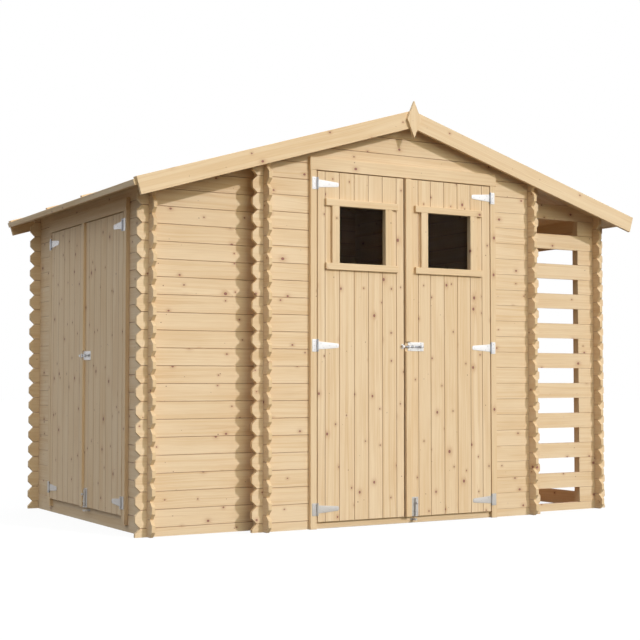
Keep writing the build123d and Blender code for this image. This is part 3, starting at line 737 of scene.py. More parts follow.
def build_walls():
    hut_tip, bay_tip = HUT_SIDE + OVERHANG, END_FACE + OVERHANG
    hut_reach, bay_reach = HUT_FACE + OVERHANG, BAY_FACE + OVERHANG
    left, right = at(-HUT_SIDE), at(HUT_SIDE - PLANK)
    front, back = at(-HUT_FACE), at(HUT_FACE - PLANK)
    bay_front, bay_back = at(-BAY_FACE), at(BAY_FACE - PLANK)
    tool_end, log_end = at(-END_FACE), at(END_FACE - PLANK)
    bays = (("front", bay_front[0]), ("back", bay_back[0]))
    beside, over = range(END_ROW), range(END_ROW, END_ROWS)

    build_wall("hut_planks_front_left", 11, "hut_front_wall_left",
               (LONG, front[0], -hut_tip, -OPENING_SIDE, START, [left], range(GABLE_ROW), (1, GABLE_ROW - 1)))
    build_wall("hut_planks_front_right", 12, "hut_front_wall_right",
               (LONG, front[0], OPENING_SIDE, hut_tip, STOP, [right], range(GABLE_ROW), (1, GABLE_ROW - 1)))
    build_wall("hut_planks_gable", 13, "hut_front_gable",
               (LONG, front[0], -hut_tip, hut_tip, BOTH, [left, right], range(GABLE_ROW, GABLE_ROWS),
                (GABLE_ROW, GABLE_ROW)))
    build_wall("hut_planks_back", 14, "hut_back_wall",
               (LONG, back[0], -hut_tip, hut_tip, BOTH, [left, right], range(GABLE_ROWS), (1, GABLE_ROW)))
    for name, side, seed in (("left", left, 15), ("right", right, 16)):
        build_wall(f"hut_planks_{name}", seed, f"hut_{name}_wall",
                   (CROSS, side[0], -hut_reach, hut_reach, BOTH, [front, back], range(SIDE_ROWS),
                    (0, SIDE_ROWS - 2)))
    for i, (name, face) in enumerate(bays):
        build_wall(f"tool_store_planks_{name}", 17 + i, f"tool_store_{name}_wall",
                   (LONG, face, -bay_tip, -HUT_SIDE, START, [tool_end], range(BAY_ROWS), (1, BAY_CUT - 1)))
    build_wall("tool_store_planks_end_front", 19, "tool_store_end_front",
               (CROSS, tool_end[0], -bay_reach, -OPENING_SIDE, START, [bay_front], beside, (0, END_ROW - 1)))
    build_wall("tool_store_planks_end_back", 20, "tool_store_end_back",
               (CROSS, tool_end[0], OPENING_SIDE, bay_reach, STOP, [bay_back], beside, (0, END_ROW - 1)))
    build_wall("tool_store_planks_end_top", 21, "tool_store_end_top",
               (CROSS, tool_end[0], -bay_reach, bay_reach, BOTH, [bay_front, bay_back], over,
                (END_ROW, END_ROW)))
    for i, (name, face) in enumerate(bays):
        slat = (LONG, face, HUT_SIDE, bay_tip, STOP, [log_end])
        stub = (LONG, face, END_FACE - STUB, bay_tip, STOP, [log_end])
        build_wall(f"log_store_slats_{name}", 22 + i, f"log_store_{name}_slats",
                   (*slat, (0, BAY_CUT)), (*stub, (), (1, BAY_CUT - 1), 2), (*slat, (), (2, BAY_CUT - 2), 2))
    build_wall("log_store_corners", 24, "log_store_end_corners",
               (CROSS, log_end[0], -bay_reach, STUB - BAY_FACE, START, [bay_front], (), (1, END_ROW - 1)),
               (CROSS, log_end[0], BAY_FACE - STUB, bay_reach, STOP, [bay_back], (), (1, END_ROW - 1)))
    across_end = (CROSS, log_end[0], -bay_reach, bay_reach, BOTH, [bay_front, bay_back])
    build_wall("log_store_end_planks", 25, "log_store_end_top", (*across_end, over, (END_ROW, END_ROW)))

    sills = Timber("sills", WALL, 26)
    for lowest, face, place in ((COURSE / 2, front, ACROSS), (COURSE, tool_end, DEEP)):
        outline = rectangle(-OPENING_SIDE, OPENING_SIDE, 0, lowest, "cut")
        sills.board(outline, *face, place, {"edge": EASED})
    planks(sills, *across_end, (), (0, 0))
    sills.done("shed", "wall_planks", "sill_planks")


# Roof

ALONG_RIDGE = (0, 1, 0)
APEX = (0, 0, RIDGE)
RIDGE_REACH = 0.02
SIDES = (("left", -1), ("right", 1))


def down(side):
    return (side * math.cos(PITCH), 0, -math.sin(PITCH))


def up(side):
    return (side * math.sin(PITCH), 0, math.cos(PITCH))


def plumb(x, above):
    """Distance down the slope of the point that lies above the underside at x from the ridge line."""
    return (x - above * math.sin(PITCH)) / math.cos(PITCH)


def build_roof():
    width = 2 * ROOF_END / ROOF_BOARDS
    for i, (name, side) in enumerate(SIDES):
        timber = Timber(f"roof_boards_{name}", ROOF, 31 + i)
        outline = rectangle(0.0, BOARD_END, -ROOF_END + ROOF_PLAY, -ROOF_END + width - ROOF_PLAY, "cut")
        flat = lay(down(side), ALONG_RIDGE, up(side), APEX)
        timber.row(outline, 0.0, ROOF_BOARD, flat, {"edge": ROOF_JOINT}, ROOF_BOARDS, (0, width, 0))
        for vert in timber.mesh.verts:
            if abs(vert.co.x) < RIDGE_REACH:
                vert.co.x = 0.0
                vert.co.z = max(RIDGE, vert.co.z)
        timber.done("shed", "roof_wood", f"roof_{name}")

    barge = Timber("barge_planks", TRIM, 33)
    batten = Timber("roof_strips", ROOF, 34)
    top = ROOF_BOARD + BATTEN_HEIGHT
    foot = top - BARGE_HEIGHT
    for _, side in SIDES:
        slope = lay(down(side), up(side), ALONG_RIDGE, APEX)
        outline = [(plumb(BARGE_GAP, foot), foot, "edge"), (BOARD_END, foot, "end"), (BOARD_END, top, "edge"),
                   (plumb(BARGE_GAP, top), top, "cut")]
        for face in (-ROOF_END - BARGE, ROOF_END):
            barge.board(outline, face, face + BARGE, slope, TRIM_BEVELS, True)
        strip = [(plumb(BATTEN_GAP, ROOF_BOARD), ROOF_BOARD, "edge"), (BOARD_END, ROOF_BOARD, "end"),
                 (BOARD_END, top, "edge"), (plumb(BATTEN_GAP, top), top, "end")]
        for share in BATTEN_SHARES:
            face = -ROOF_END + share * (2 * ROOF_END - BATTEN_WIDTH)
            batten.board(strip, face, face + BATTEN_WIDTH, slope, TRIM_BEVELS, True)
    barge.done("shed", "trim_wood", "barge_boards")
    batten.done("shed", "roof_wood", "roof_battens")

    fascia = Timber("eave_boards", WALL, 35)
    high = ROOF_BOARD + FASCIA_RISE
    outline = rectangle(-ROOF_END, ROOF_END, high - FASCIA_HEIGHT, high)
    for _, side in SIDES:
        place = lay(ALONG_RIDGE, up(side), down(side), APEX)
        fascia.board(outline, BOARD_END, BOARD_END + FASCIA, place, TRIM_BEVELS, True)
    fascia.done("shed", "trim_wood", "eave_fascias")

    beam = Timber("ridge_timber", ROOF, 36)
    section = [(-BEAM_HALF, RIDGE - BEAM_HEIGHT, "edge"), (BEAM_HALF, RIDGE - BEAM_HEIGHT, "edge"),
               (BEAM_HALF, under_roof(BEAM_HALF), "cut"), (0, RIDGE, "cut"),
               (-BEAM_HALF, under_roof(BEAM_HALF), "edge")]
    made, faces = slab(beam.mesh, section, PLANK - HUT_FACE, HUT_FACE - PLANK, ACROSS, {"edge": EASED})
    for vert, own in made:
        vert[beam.grain] = (own[2], own[0] + BEAM_HEART[0], own[1] - RIDGE + BEAM_HEART[1])
        vert[beam.tone] = BEAM_TONE
    for face, kind in faces:
        face[beam.end] = CUT_MARKS["end"] if kind == "face" else 0.0
    beam.done("shed", "roof_wood", "ridge_beam")

    diamond = Timber("gable_diamonds", TRIM, 37)
    middle = RIDGE - DIAMOND_DROP
    wide, tall = DIAMOND_HALF
    corners = ((0, -tall), (wide, 0), (0, tall), (-wide, 0))
    outline = [(x, middle + z, "end") for x, z in corners]
    for face in (-ROOF_END - BARGE - DIAMOND, ROOF_END + BARGE):
        diamond.board(outline, face, face + DIAMOND, ACROSS, {"end": DIAMOND_EDGE}, upright=True)
    diamond.done("shed", "trim_wood", "finials")
    plain_boards("store_battens", "log_store_battens", 38, "shed", "z")


# Doors: two doorways alike, drawn at a wall whose face is the plane y = 0 and looks towards -Y

Doorway = namedtuple("Doorway", "name place sill head lap across hinges latch_rise seed")
DOORWAYS = (Doorway("front", FRONT_DOOR, COURSE / 2, FRONT_HEAD, 0.0535, "x", 3, 0.001, 41),
            Doorway("side", SIDE_DOOR, COURSE, END_HEAD, 0.044, "y", 2, 0.047, 51))
LEAF_FRONT = 0.021
LEAF_BACK = 0.005
LEAF_GAP = 0.005
LEAF_EDGE = 0.565
SILL_LAP = 0.008
MEETING = -0.017
MEETING_GAP = 0.006
LEDGE = 0.070
LEDGE_BACK = 0.011
LEDGE_GAP = 0.012
LEAVES = (("left", (-LEAF_EDGE, MEETING - MEETING_GAP), (-0.520, -0.432, -0.340, -0.251, -0.162, -0.0715)),
          ("right", (MEETING, LEAF_EDGE), (0.073, 0.155, 0.246, 0.337, 0.427, 0.508)))

# Windows of the front leaves
HOLE_HALF = (0.1445, 0.151)
HOLE_DROP = 0.331
WINDOW_TRIM = 0.015
STILE = 0.045
RAIL = 0.036
RAIL_RUN_ON = 0.0375


def leaf_heights(doorway):
    return doorway.sill - SILL_LAP, doorway.head + doorway.lap - LEAF_GAP


def upright(x0, x1, z0, z1, foot="end", head="end"):
    """Outline of an upright door board between two joints."""
    return [(x0, z0, foot), (x1, z0, "joint"), (x1, z1, head), (x0, z1, "joint")]


def around_hole(x0, x1, z0, z1, hole):
    """Outlines of one upright door board with a window's hole cut out of it."""
    if hole is None or x1 <= hole[0] or x0 >= hole[1]:
        return [upright(x0, x1, z0, z1)]
    hx0, hx1, hz0, hz1 = hole
    if x0 >= hx0 and x1 <= hx1:
        return [upright(x0, x1, z0, hz0, head="cut"), upright(x0, x1, hz1, z1, foot="cut")]
    if x0 < hx0:
        return [[(x0, z0, "end"), (x1, z0, "joint"), (x1, hz0, "cut"), (hx0, hz0, "cut"), (hx0, hz1, "cut"),
                 (x1, hz1, "joint"), (x1, z1, "end"), (x0, z1, "joint")]]
    return [[(x0, z0, "end"), (x1, z0, "joint"), (x1, z1, "end"), (x0, z1, "joint"), (x0, hz1, "cut"),
             (hx1, hz1, "cut"), (hx1, hz0, "cut"), (x0, hz0, "joint")]]


def build_leaf(doorway, hand, span, joints, hole, seed):
    """Boarded leaf: upright boards, and three ledges across their backs."""
    name = f"{doorway.name}_{hand}"
    low, high = leaf_heights(doorway)
    timber = Timber(f"{name}_boards", DOOR, seed)
    stand = doorway.place @ ACROSS
    edges = [span[0], *joints, span[1]]

    def kind_at(x, kind):
        outer = min(abs(x - span[0]), abs(x - span[1])) < 2 * JOINT_PLAY
        return "edge" if outer and kind == "joint" else kind

    for x0, x1 in zip(edges, edges[1:]):
        for outline in around_hole(x0 + JOINT_PLAY, x1 - JOINT_PLAY, low, high, hole):
            outline = [(x, z, kind_at(x, kind)) for x, z, kind in outline]
            timber.board(outline, -LEAF_FRONT, -LEAF_BACK, stand, BOARD_BEVELS, upright=True)
    x0 = max(span[0], -OPENING_SIDE) + LEDGE_GAP
    x1 = min(span[1], OPENING_SIDE) - LEDGE_GAP
    foot = doorway.sill + LEDGE_GAP + LEDGE
    top = doorway.head - LEDGE_GAP - LEDGE
    for z in (foot, (foot + top) / 2, top):
        outline = rectangle(x0, x1, z - LEDGE / 2, z + LEDGE / 2)
        timber.board(outline, -LEAF_BACK, LEDGE_BACK, stand, TRIM_BEVELS, True)
    timber.done(f"{name}_door", "door_boards", f"{name}_leaf")


def build_window(hand, x, middle, seed):
    """Frame of four boards round a pane; the rails run on past the stiles."""
    node = f"front_{hand}_window_trim"
    low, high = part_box(node)
    rail = (high.x - low.x) / 2
    half_width = rail - RAIL_RUN_ON - STILE
    half_height = HOLE_HALF[1]
    timber = Timber(f"front_{hand}_window_frame", TRIM, seed)
    stand = FRONT_DOOR @ ACROSS
    face = -LEAF_FRONT - WINDOW_TRIM
    for z0 in (low.z, middle + half_height):
        outline = rectangle(x - rail, x + rail, z0, z0 + RAIL)
        timber.board(outline, face, -LEAF_FRONT, stand, TRIM_BEVELS, True)
    for x0 in (x - half_width - STILE, x + half_width):
        outline = rectangle(x0, x0 + STILE, middle - half_height, middle + half_height, "edge", "cut")
        timber.board(outline, face, -LEAF_FRONT, stand, TRIM_BEVELS, True, upright=True)
    timber.done(f"front_{hand}_door", "trim_wood", node)


def build_doors():
    for doorway in DOORWAYS:
        name, seed = doorway.name, doorway.seed
        middle = leaf_heights(doorway)[1] - HOLE_DROP
        for i, (hand, span, joints) in enumerate(LEAVES):
            hole = None
            if name == "front":
                x = sum(span) / 2
                wide, tall = HOLE_HALF
                hole = (x - wide, x + wide, middle - tall, middle + tall)
                build_window(hand, x, middle, seed + 2 + i)
            build_leaf(doorway, hand, span, joints, hole, seed + i)
        plain_boards(f"{name}_jamb_boards", f"{name}_jambs", seed + 4, "shed", "z")
        plain_boards(f"{name}_header_board", f"{name}_header", seed + 5, "shed", doorway.across)
        plain_boards(f"{name}_cover_strip", f"{name}_astragal", seed + 6, f"{name}_right_door", "z")
    for hand in ("left", "right"):
        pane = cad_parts[f"front_{hand}_glass"]
        pane.data.materials.clear()
        pane.data.materials.append(GLASS)


# Ironmongery: hinges with a plate on the jamb and a tapered strap on the leaf, and places of their screws
STEEL_EDGE = 0.0006
SHARP_ANGLE = math.radians(32)
METAL = 0.0025
METAL_FACE = LEAF_FRONT + METAL
CORNER_ROUND = 0.003
HINGE_SIDE = 0.5675
HINGE_FRONT = 0.026
HINGE_INSET = 0.066
KNUCKLE = 0.005
KNUCKLE_PLAY = 0.0003
PLATE_HALF = 0.033
PLATE_WIDTH = 0.026
PLATE_GAP = 0.0005
PIN_CAP_INSET = 0.0012
PIN_CAP = ((0.0034, -0.0005), (0.0034, 0.0004), (0.0022, 0.0011))
STRAP_HALF = 0.0215
STRAP_TIP_HALF = 0.012
STRAP_LENGTH = 0.131
STRAP_TIP_ROUND = 0.0095
ROOT_SCREW = (0.022, 0.0105)
ROOT_SCREW_STEP = 0.017
TIP_SCREW = 0.073
TIP_SCREW_STEP = 0.042
PLATE_SCREW_STEP = 0.022
TONGUE = (0.001, 0.003)
TONGUE_EDGE = 0.0002
TONGUE_INSET = (0.0004, 0.0001)

# Bolts: each runs in guides on a plate and is drawn by a turned knob
BOLT = 0.0045
BOLT_AXIS = 0.030
BORE = 0.0051
GUIDE_OUTER = 0.0078
GUIDE_FOOT = 0.0125
GUIDE_METAL = 0.0014
GUIDE_WIDTH = 0.008
GUIDE_SPACING = 0.028
GUIDE_INSET = 0.0005
GUIDE_EDGE = 0.0004
LAST_GUIDE = 0.021
LATCH_SCREW = (0.018, 0.0175)
LATCH_SCREW_STEP = 0.068
FOOT_SCREW = (0.015, 0.018)
FOOT_SCREW_STEP = 0.076
KEEPER_SCREW = 0.0115
LATCH_KNOB = 0.090
FOOT_KNOB = 0.072
LATCH_INSET = 0.018
LATCH_WIDTH = 0.104
LATCH_HALF = 0.024
LATCH_LENGTH = 0.117
FOOT_INSET = 0.062
FOOT_HALF = 0.021
FOOT_HEIGHT = 0.104
FOOT_LENGTH = 0.099
KEEPER_INSET = 0.010
KEEPER_WIDTH = 0.014
SILL_KEEPER_DROP = 0.012
SILL_KEEPER_HEIGHT = 0.010
SILL_KEEPER_HALF = 0.015
SILL_KEEPER_METAL = 0.002
SILL_KEEPER_ROUND = 0.002
CHEEK_INSET = 0.0002
CHEEK_EDGE = 0.0003
KNOB_PROFILE = ((0.0032, 0.0), (0.0032, 0.0075), (0.0058, 0.0085), (0.0070, 0.0100), (0.0070, 0.0140),
                (0.0060, 0.0160), (0.0036, 0.0170))

# Places of the finishes in a fitting's list, and the screw head's cross and rings of (radius, depth)
FITTING_FINISHES = [STEEL, SCREW, PIN]
SCREW_PLACE, PIN_PLACE = 1, 2
CROSS_ARM = 0.0006
CROSS_REACH = 0.0019
SCREW_RINGS = ((0.0036, 0.0008), (0.0036, -0.0002), (0.0027, -0.0010), (None, -0.0011), (None, -0.0003))


def screw_head():
    """Cross-slotted screw head that looks towards -Y, with a stub that sinks into the plate."""
    mesh = bmesh.new()
    corners = [(CROSS_REACH, CROSS_ARM), (CROSS_ARM, CROSS_ARM), (CROSS_ARM, CROSS_REACH)]
    cross = []
    for _ in range(4):
        cross += corners
        corners = [(-z, x) for x, z in corners]
    rings = []
    for radius, y in SCREW_RINGS:
        shares = [radius / math.hypot(x, z) if radius else 1.0 for x, z in cross]
        rings.append([mesh.verts.new((x * share, y, z * share)) for (x, z), share in zip(cross, shares)])
    skin(mesh, rings)
    bmesh.ops.recalc_face_normals(mesh, faces=mesh.faces[:])
    return mesh


def arc(middle, radius, start, stop, steps):
    """Points on a round stretch, from one angle to another in degrees."""
    turns = [math.radians(start + (stop - start) * i / steps) for i in range(steps + 1)]
    return [(middle[0] + radius * math.cos(t), middle[1] + radius * math.sin(t)) for t in turns]


def rounded_plate(x0, x1, z0, z1, radius=CORNER_ROUND):
    """Outline of a plate with round corners, anticlockwise."""
    left, right, low, high = x0 + radius, x1 - radius, z0 + radius, z1 - radius
    points = []
    for i, corner in enumerate(((right, low), (right, high), (left, high), (left, low))):
        points += arc(corner, radius, 90 * i - 90, 90 * i, 4)
    return points


def strap_outline(side, height):
    """Tapered strap with a round tip; its root lies on the hinge's axis."""
    tip = STRAP_LENGTH - STRAP_TIP_ROUND
    inner = STRAP_TIP_HALF - STRAP_TIP_ROUND
    points = [(0.0, STRAP_HALF), (0.0, -STRAP_HALF)]
    points += arc((tip, -inner), STRAP_TIP_ROUND, -86, 0, 5) + arc((tip, inner), STRAP_TIP_ROUND, 0, 86, 5)
    return [(side * (HINGE_SIDE - d), height + z) for d, z in (points if side < 0 else reversed(points))]


class Ironwork:
    """Steel fittings of one body at a doorway."""

    def __init__(self, name, place, seed):
        self.name = name
        self.place = place
        self.luck = random.Random(seed)
        self.mesh = bmesh.new()

    def plate(self, outline, low, high, edge=STEEL_EDGE):
        """Flat steel on an outline in x and z, from one depth to another."""
        slab(self.mesh, [(x, z, "edge") for x, z in outline], low, high, ACROSS, {"edge": edge}, True)

    def bar(self, x0, x1, z0, z1, low, high, edge):
        """Square-cornered plate between two places in x, in either order."""
        x0, x1 = sorted((x0, x1))
        self.plate([(x0, z0), (x1, z0), (x1, z1), (x0, z1)], low, high, edge)

    def turned(self, profile, origin, axis, capped=True, finish=0, sides=24):
        """Turned steel: pairs of radius and height about an axis; without caps the profile closes itself."""
        turn = Vector((0, 0, 1)).rotation_difference(Vector(axis)).to_matrix().to_4x4()
        place = Matrix.Translation(origin) @ turn
        rings = []
        for radius, height in profile:
            circle = arc((0, 0), radius, 0, 360, sides)[:-1]
            rings.append([self.mesh.verts.new(place @ Vector((x, y, height))) for x, y in circle])
        for faces in skin(self.mesh, rings, capped):
            for face in faces:
                face.material_index = finish

    def rod(self, radius, start, stop, finish=0, ease=0.0008):
        """Round bar with eased ends."""
        run = Vector(stop) - Vector(start)
        long = run.length
        profile = ((radius - ease, 0.0), (radius, ease), (radius, long - ease), (radius - ease, long))
        self.turned(profile, start, run, finish=finish)

    def screws(self, first, count, step, rows=1, row_step=(0, 0, 0)):
        """Screws in rows and columns, by the screw rows tree."""
        values = {"First": first, "Count": count, "Step": step, "Rows": rows, "Row Step": row_step,
                  "Seed": self.luck.randrange(SEEDS), "Finish": SCREW}
        for face in add_copies(self.mesh, screw_head(), SCREW_ROWS, values):
            face.material_index = SCREW_PLACE

    def done(self, body, node):
        bmesh.ops.transform(self.mesh, matrix=self.place, verts=self.mesh.verts[:])
        for face in self.mesh.faces:
            face.smooth = True
        piece = finished(self.name, self.mesh, FITTING_FINISHES, body, node)
        piece.data.set_sharp_from_angle(angle=SHARP_ANGLE)


def strap_hinge(iron, side, height):
    """Strap on the leaf, with the middle knuckle of the hinge."""
    iron.plate(strap_outline(side, height), -METAL_FACE, -LEAF_FRONT)
    x = side * HINGE_SIDE
    half = STRAP_HALF - KNUCKLE_PLAY
    # knuckle in the darker pin zinc: painted shade of its shaded flank
    iron.rod(KNUCKLE, (x, -HINGE_FRONT, height - half), (x, -HINGE_FRONT, height + half), PIN_PLACE)
    inset, rise = ROOT_SCREW
    step = (-side * ROOT_SCREW_STEP, 0, -2 * rise)
    iron.screws((x - side * inset, -METAL_FACE, height + rise), 2, step)
    iron.screws((x - side * TIP_SCREW, -METAL_FACE, height), 2, (-side * TIP_SCREW_STEP, 0, 0))


def hinge_plate(iron, side, height):
    """Plate on the jamb with the two outer knuckles, which it is rolled into."""
    x = side * HINGE_SIDE
    near = HINGE_SIDE + KNUCKLE + PLATE_GAP
    x0, x1 = sorted((side * near, side * (near + PLATE_WIDTH)))
    iron.plate(rounded_plate(x0, x1, height - PLATE_HALF, height + PLATE_HALF), -METAL_FACE, -LEAF_FRONT)
    for end in (-1, 1):
        cap = height + end * (PLATE_HALF - PIN_CAP_INSET)
        z0, z1 = sorted((height + end * (STRAP_HALF + KNUCKLE_PLAY), cap))
        # outer knuckles in the darker pin zinc: painted shade of their shaded flanks
        iron.rod(KNUCKLE, (x, -HINGE_FRONT, z0), (x, -HINGE_FRONT, z1), PIN_PLACE)
        ease, sunk = TONGUE_INSET
        iron.bar(side * (HINGE_SIDE + TONGUE[0]), side * (near + TONGUE[1]), z0 + ease, z1 - ease,
                 -METAL_FACE + sunk, -LEAF_FRONT - sunk, TONGUE_EDGE)
        iron.turned(PIN_CAP, (x, -HINGE_FRONT, cap), (0, 0, end))
    first = (side * (near + PLATE_WIDTH / 2), -METAL_FACE, height - PLATE_SCREW_STEP)
    iron.screws(first, 3, (0, 0, PLATE_SCREW_STEP))


def guide_outline(axis):
    """Bent guide round a bolt, with a foot at each side; axis is the bolt's height over the feet."""
    return ([(GUIDE_FOOT, 0.0), (GUIDE_FOOT, GUIDE_METAL), (GUIDE_OUTER, GUIDE_METAL)]
            + arc((0, axis), GUIDE_OUTER, 0, 180, 12)
            + [(-GUIDE_OUTER, GUIDE_METAL), (-GUIDE_FOOT, GUIDE_METAL), (-GUIDE_FOOT, 0.0), (-BORE, 0.0)]
            + arc((0, axis), BORE, 180, 0, 12) + [(BORE, 0.0)])


def guide(iron, along, start, width, middle, base):
    """Guide round a bolt that runs along x or z, on a plate whose face is at the depth base."""
    place = lay((-1, 0, 0), (0, -1, 0), (0, 0, 1), (middle, -base, 0))
    if along == "x":
        place = lay((0, 0, 1), (0, -1, 0), (1, 0, 0), (0, -base, middle))
    outline = [(u, v, "edge") for u, v in guide_outline(BOLT_AXIS - base)]
    slab(iron.mesh, outline, start, start + width, place, {"edge": GUIDE_EDGE})


def latch_plate(iron, height):
    """Plate of the latch with its three guides."""
    left = MEETING + LATCH_INSET
    right = left + LATCH_WIDTH
    iron.plate(rounded_plate(left, right, height - LATCH_HALF, height + LATCH_HALF), -METAL_FACE, -LEAF_FRONT)
    for start in (left, left + GUIDE_SPACING, right - LAST_GUIDE):
        guide(iron, "x", start + GUIDE_INSET, GUIDE_WIDTH, height, METAL_FACE)
    inset, rise = LATCH_SCREW
    first = (left + inset, -METAL_FACE, height - rise)
    iron.screws(first, 2, (LATCH_SCREW_STEP, 0, 0), 2, (0, 0, 2 * rise))


def foot_plate(iron, low):
    """Plate of the foot bolt with its two guides."""
    middle = MEETING + FOOT_INSET
    outline = rounded_plate(middle - FOOT_HALF, middle + FOOT_HALF, low, low + FOOT_HEIGHT)
    iron.plate(outline, -METAL_FACE, -LEAF_FRONT)
    for start in (low, low + GUIDE_SPACING):
        guide(iron, "z", start + GUIDE_INSET, GUIDE_WIDTH, middle, METAL_FACE)
    half, rise = FOOT_SCREW
    first = (middle - half, -METAL_FACE, low + rise)
    iron.screws(first, 2, (2 * half, 0, 0), 2, (0, 0, FOOT_SCREW_STEP))


def latch_keeper(iron, height):
    """Keeper on the other leaf that the latch slides into."""
    guide(iron, "x", MEETING - KEEPER_INSET - KEEPER_WIDTH, KEEPER_WIDTH, height, LEAF_FRONT)


def foot_keeper(iron, low):
    """Eye on the sill that the foot bolt drops into."""
    middle, top = MEETING + FOOT_INSET, low - SILL_KEEPER_DROP
    foot = top - SILL_KEEPER_HEIGHT
    half = SILL_KEEPER_HALF
    outline = rounded_plate(middle - half, middle + half, foot, top, SILL_KEEPER_ROUND)
    iron.plate(outline, -SILL_KEEPER_METAL, 0.0)
    for side in (-1, 1):
        inner, outer = middle + side * (BORE + CHEEK_INSET), middle + side * GUIDE_OUTER
        iron.bar(inner, outer, foot, top, -BOLT_AXIS, CHEEK_INSET - SILL_KEEPER_METAL, CHEEK_EDGE)
    ring = ((BORE, 0.0), (GUIDE_OUTER, 0.0), (GUIDE_OUTER, top - foot), (BORE, top - foot))
    iron.turned(ring, (middle, -BOLT_AXIS, foot), (0, 0, 1), False)
    first = (middle - KEEPER_SCREW, -SILL_KEEPER_METAL, (foot + top) / 2)
    iron.screws(first, 2, (2 * KEEPER_SCREW, 0, 0))


def build_bolt(name, node, body, place, seed, start, stop, knob, finish):
    """Bolt with its knob, drawn back."""
    bolt = Ironwork(name, place, seed)
    bolt.rod(BOLT, start, stop, finish)
    bolt.turned(KNOB_PROFILE, knob, (0, -1, 0), finish=PIN_PLACE)
    bolt.done(body, node)


def build_ironwork():
    for doorway in DOORWAYS:
        name, place, seed = doorway.name, doorway.place, doorway.seed + 20
        low, high = leaf_heights(doorway)
        first, last = low + HINGE_INSET, high - HINGE_INSET
        heights = [first + (last - first) * i / (doorway.hinges - 1) for i in range(doorway.hinges)]
        latch = (low + high) / 2 + doorway.latch_rise
        on_frame = Ironwork(f"{name}_frame_fittings", place, seed)
        foot_keeper(on_frame, low)
        for hand, side in SIDES:
            on_leaf = Ironwork(f"{name}_{hand}_fittings", place, seed + 2 + side)
            for height in heights:
                strap_hinge(on_leaf, side, height)
                hinge_plate(on_frame, side, height)
            if hand == "left":
                latch_keeper(on_leaf, latch)
            else:
                latch_plate(on_leaf, latch)
                foot_plate(on_leaf, low)
            on_leaf.done(f"{name}_{hand}_door", f"{name}_{hand}_ironwork")
        on_frame.done("shed", f"{name}_frame_ironwork")
        build_bolt(f"{name}_latch_rod", f"{name}_latch_bolt", f"{name}_latch", place, seed + 5,
                   (MEETING, -BOLT_AXIS, latch), (MEETING + LATCH_LENGTH, -BOLT_AXIS, latch),
                   (MEETING + LATCH_KNOB, -BOLT_AXIS, latch), PIN_PLACE)
        middle = MEETING + FOOT_INSET
        build_bolt(f"{name}_foot_rod", f"{name}_drop_bolt", f"{name}_foot_bolt", place, seed + 6,
                   (middle, -BOLT_AXIS, low), (middle, -BOLT_AXIS, low + FOOT_LENGTH),
                   (middle, -BOLT_AXIS, low + FOOT_KNOB), 0)


build_walls()
build_roof()
build_doors()
build_ironwork()


# Stage: floor, light and camera

FLOOR_RADIUS = 40.0
FLOOR_SHADOWED = (0.11, 0.11, 0.11, 1.0)
FLOOR_GLOW = 0.90
FLOOR_INSIDE = (0.62, 0.60, 0.57, 1.0)
FLOOR_BOUNCE = (0.11, 0.10, 0.08, 1.0)
BAY_BOUNCE = (0.44, 0.17, 0.02, 1.0)
MID_WALL_X, MID_WALL_Y = HUT_SIDE - PLANK / 2, HUT_FACE - PLANK / 2
MID_END_X, MID_BAY_Y = END_FACE - PLANK / 2, BAY_FACE - PLANK / 2
WHITE = (1.0, 1.0, 1.0, 1.0)
SKY_EDGE = 0.03
SKY_RISE = 1.98
SKY_TOP = 0.7
SKY_FRONT = 0.75
SKY_TINT = (0.93, 0.985, 1.05, 1.0)
KEY_DIRECTION = (-0.43, 1.0, -0.51)
FILL_DIRECTION = (-0.05, 1.0, -0.22)
CAMERA_PLACE = (-3.9698, -6.8551, 0.7739)
CAMERA_RISE = 2.6455
CAMERA_TURN = -30.1995
LENS = 73.124
SENSOR = 36.0


def seen_rays(sheet):
    """1 for rays from the camera, a reflection or a pane, and 0 for rays that only carry light."""
    light = sheet.add("ShaderNodeLightPath", None, (), "Is Camera Ray")
    seen = sheet.maths("MAXIMUM", light, light.out("Is Glossy Ray"))
    return sheet.maths("MAXIMUM", seen, light.out("Is Transmission Ray"))


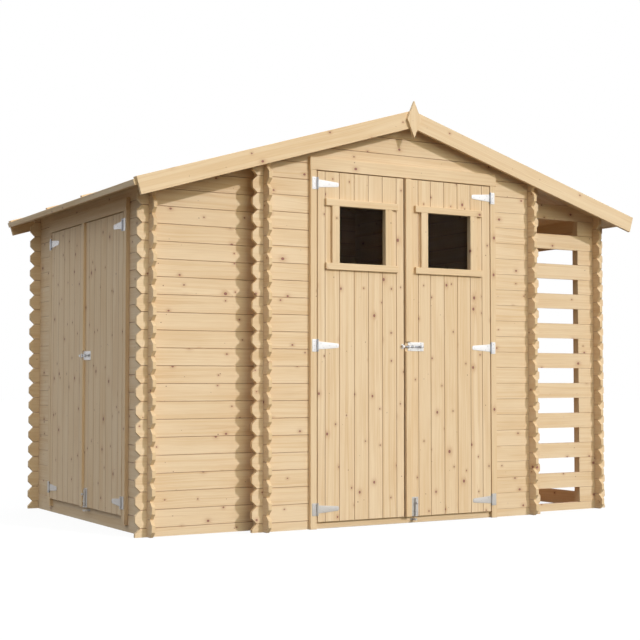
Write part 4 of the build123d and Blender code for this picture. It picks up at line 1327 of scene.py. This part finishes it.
def floor_finish():
    """Pale floor: white with the shed's shadow where it is seen, plain indoors, dark in the light it returns.

    The floor of the log bay throws back a warm light, as its wood would."""
    made, sheet, shader = material("floor")

    def diffuse(colour):
        return sheet.add("ShaderNodeBsdfDiffuse", None, {"Color": colour})

    def blend(factor, first, second):
        return sheet.add("ShaderNodeMixShader", None, [factor, first, second])

    x, y, _ = sheet.parts(sheet.object_place())
    reach = sheet.maths("ABSOLUTE", y)
    in_bay = reach.below(MID_BAY_Y)
    left_of_hut, right_of_hut = x.below(-MID_WALL_X), 1 - x.below(MID_WALL_X)
    hut = (1 - left_of_hut) * x.below(MID_WALL_X) * reach.below(MID_WALL_Y)
    inside = hut + left_of_hut * (1 - x.below(-MID_END_X)) * in_bay
    log_bay = right_of_hut * x.below(MID_END_X) * in_bay
    glow = sheet.add("ShaderNodeEmission", None, {"Color": WHITE, "Strength": FLOOR_GLOW})
    white = sheet.add("ShaderNodeAddShader", None, [diffuse(FLOOR_SHADOWED), glow])
    looked_at = blend(inside, white, diffuse(FLOOR_INSIDE))
    bounce = diffuse(sheet.mix(log_bay, FLOOR_BOUNCE, BAY_BOUNCE))
    both = blend(seen_rays(sheet), bounce, looked_at)
    sheet.feed(made.node_tree.nodes["Material Output"], {"Surface": both})
    made.node_tree.nodes.remove(shader)
    return made


def build_floor():
    mesh = bmesh.new()
    bmesh.ops.create_circle(mesh, cap_ends=True, segments=64, radius=FLOOR_RADIUS)
    data = bpy.data.meshes.new("floor")
    mesh.to_mesh(data)
    mesh.free()
    data.materials.append(floor_finish())
    floor = bpy.data.objects.new("floor", data)
    scene.collection.objects.link(floor)


def build_sky():
    """Soft light that comes mostly from above and less from the front, on a white ground."""
    scene.world = bpy.data.worlds.new("studio")
    scene.world.use_nodes = True
    sheet = Sheet(scene.world.node_tree)
    _, back_and_front, rise = sheet.parts(sheet.add("ShaderNodeTexCoord", None, (), "Generated"))
    level = SKY_EDGE + SKY_RISE * sheet.maths("MINIMUM", rise.clamp(), SKY_TOP)
    level = level * (1 - SKY_FRONT * (-back_and_front).clamp())
    seen = seen_rays(sheet)
    sheet.feed(sheet.tree.nodes["Background"],
               {"Strength": seen + (1 - seen) * level, "Color": sheet.mix(seen, SKY_TINT, WHITE)})


def sun_lamp(name, energy, angle, colour, direction):
    lamp = bpy.data.lights.new(name, "SUN")
    lamp.energy = energy
    lamp.angle = math.radians(angle)
    lamp.color = colour
    sun = bpy.data.objects.new(name, lamp)
    sun.rotation_euler = Vector(direction).to_track_quat("-Z", "Y").to_euler()
    scene.collection.objects.link(sun)


def build_camera():
    lens = bpy.data.cameras.new("camera")
    lens.sensor_width = SENSOR
    lens.lens = LENS
    camera = bpy.data.objects.new("camera", lens)
    camera.location = CAMERA_PLACE
    camera.rotation_euler = (math.radians(90 + CAMERA_RISE), 0.0, math.radians(CAMERA_TURN))
    scene.collection.objects.link(camera)
    scene.camera = camera


build_floor()
build_sky()
sun_lamp("key", 1.51, 1.2, (1.0, 0.99, 1.04), KEY_DIRECTION)
sun_lamp("fill", 1.27, 46.0, (1.0, 0.98, 0.72), FILL_DIRECTION)
build_camera()
scene.view_settings.view_transform = "Standard"
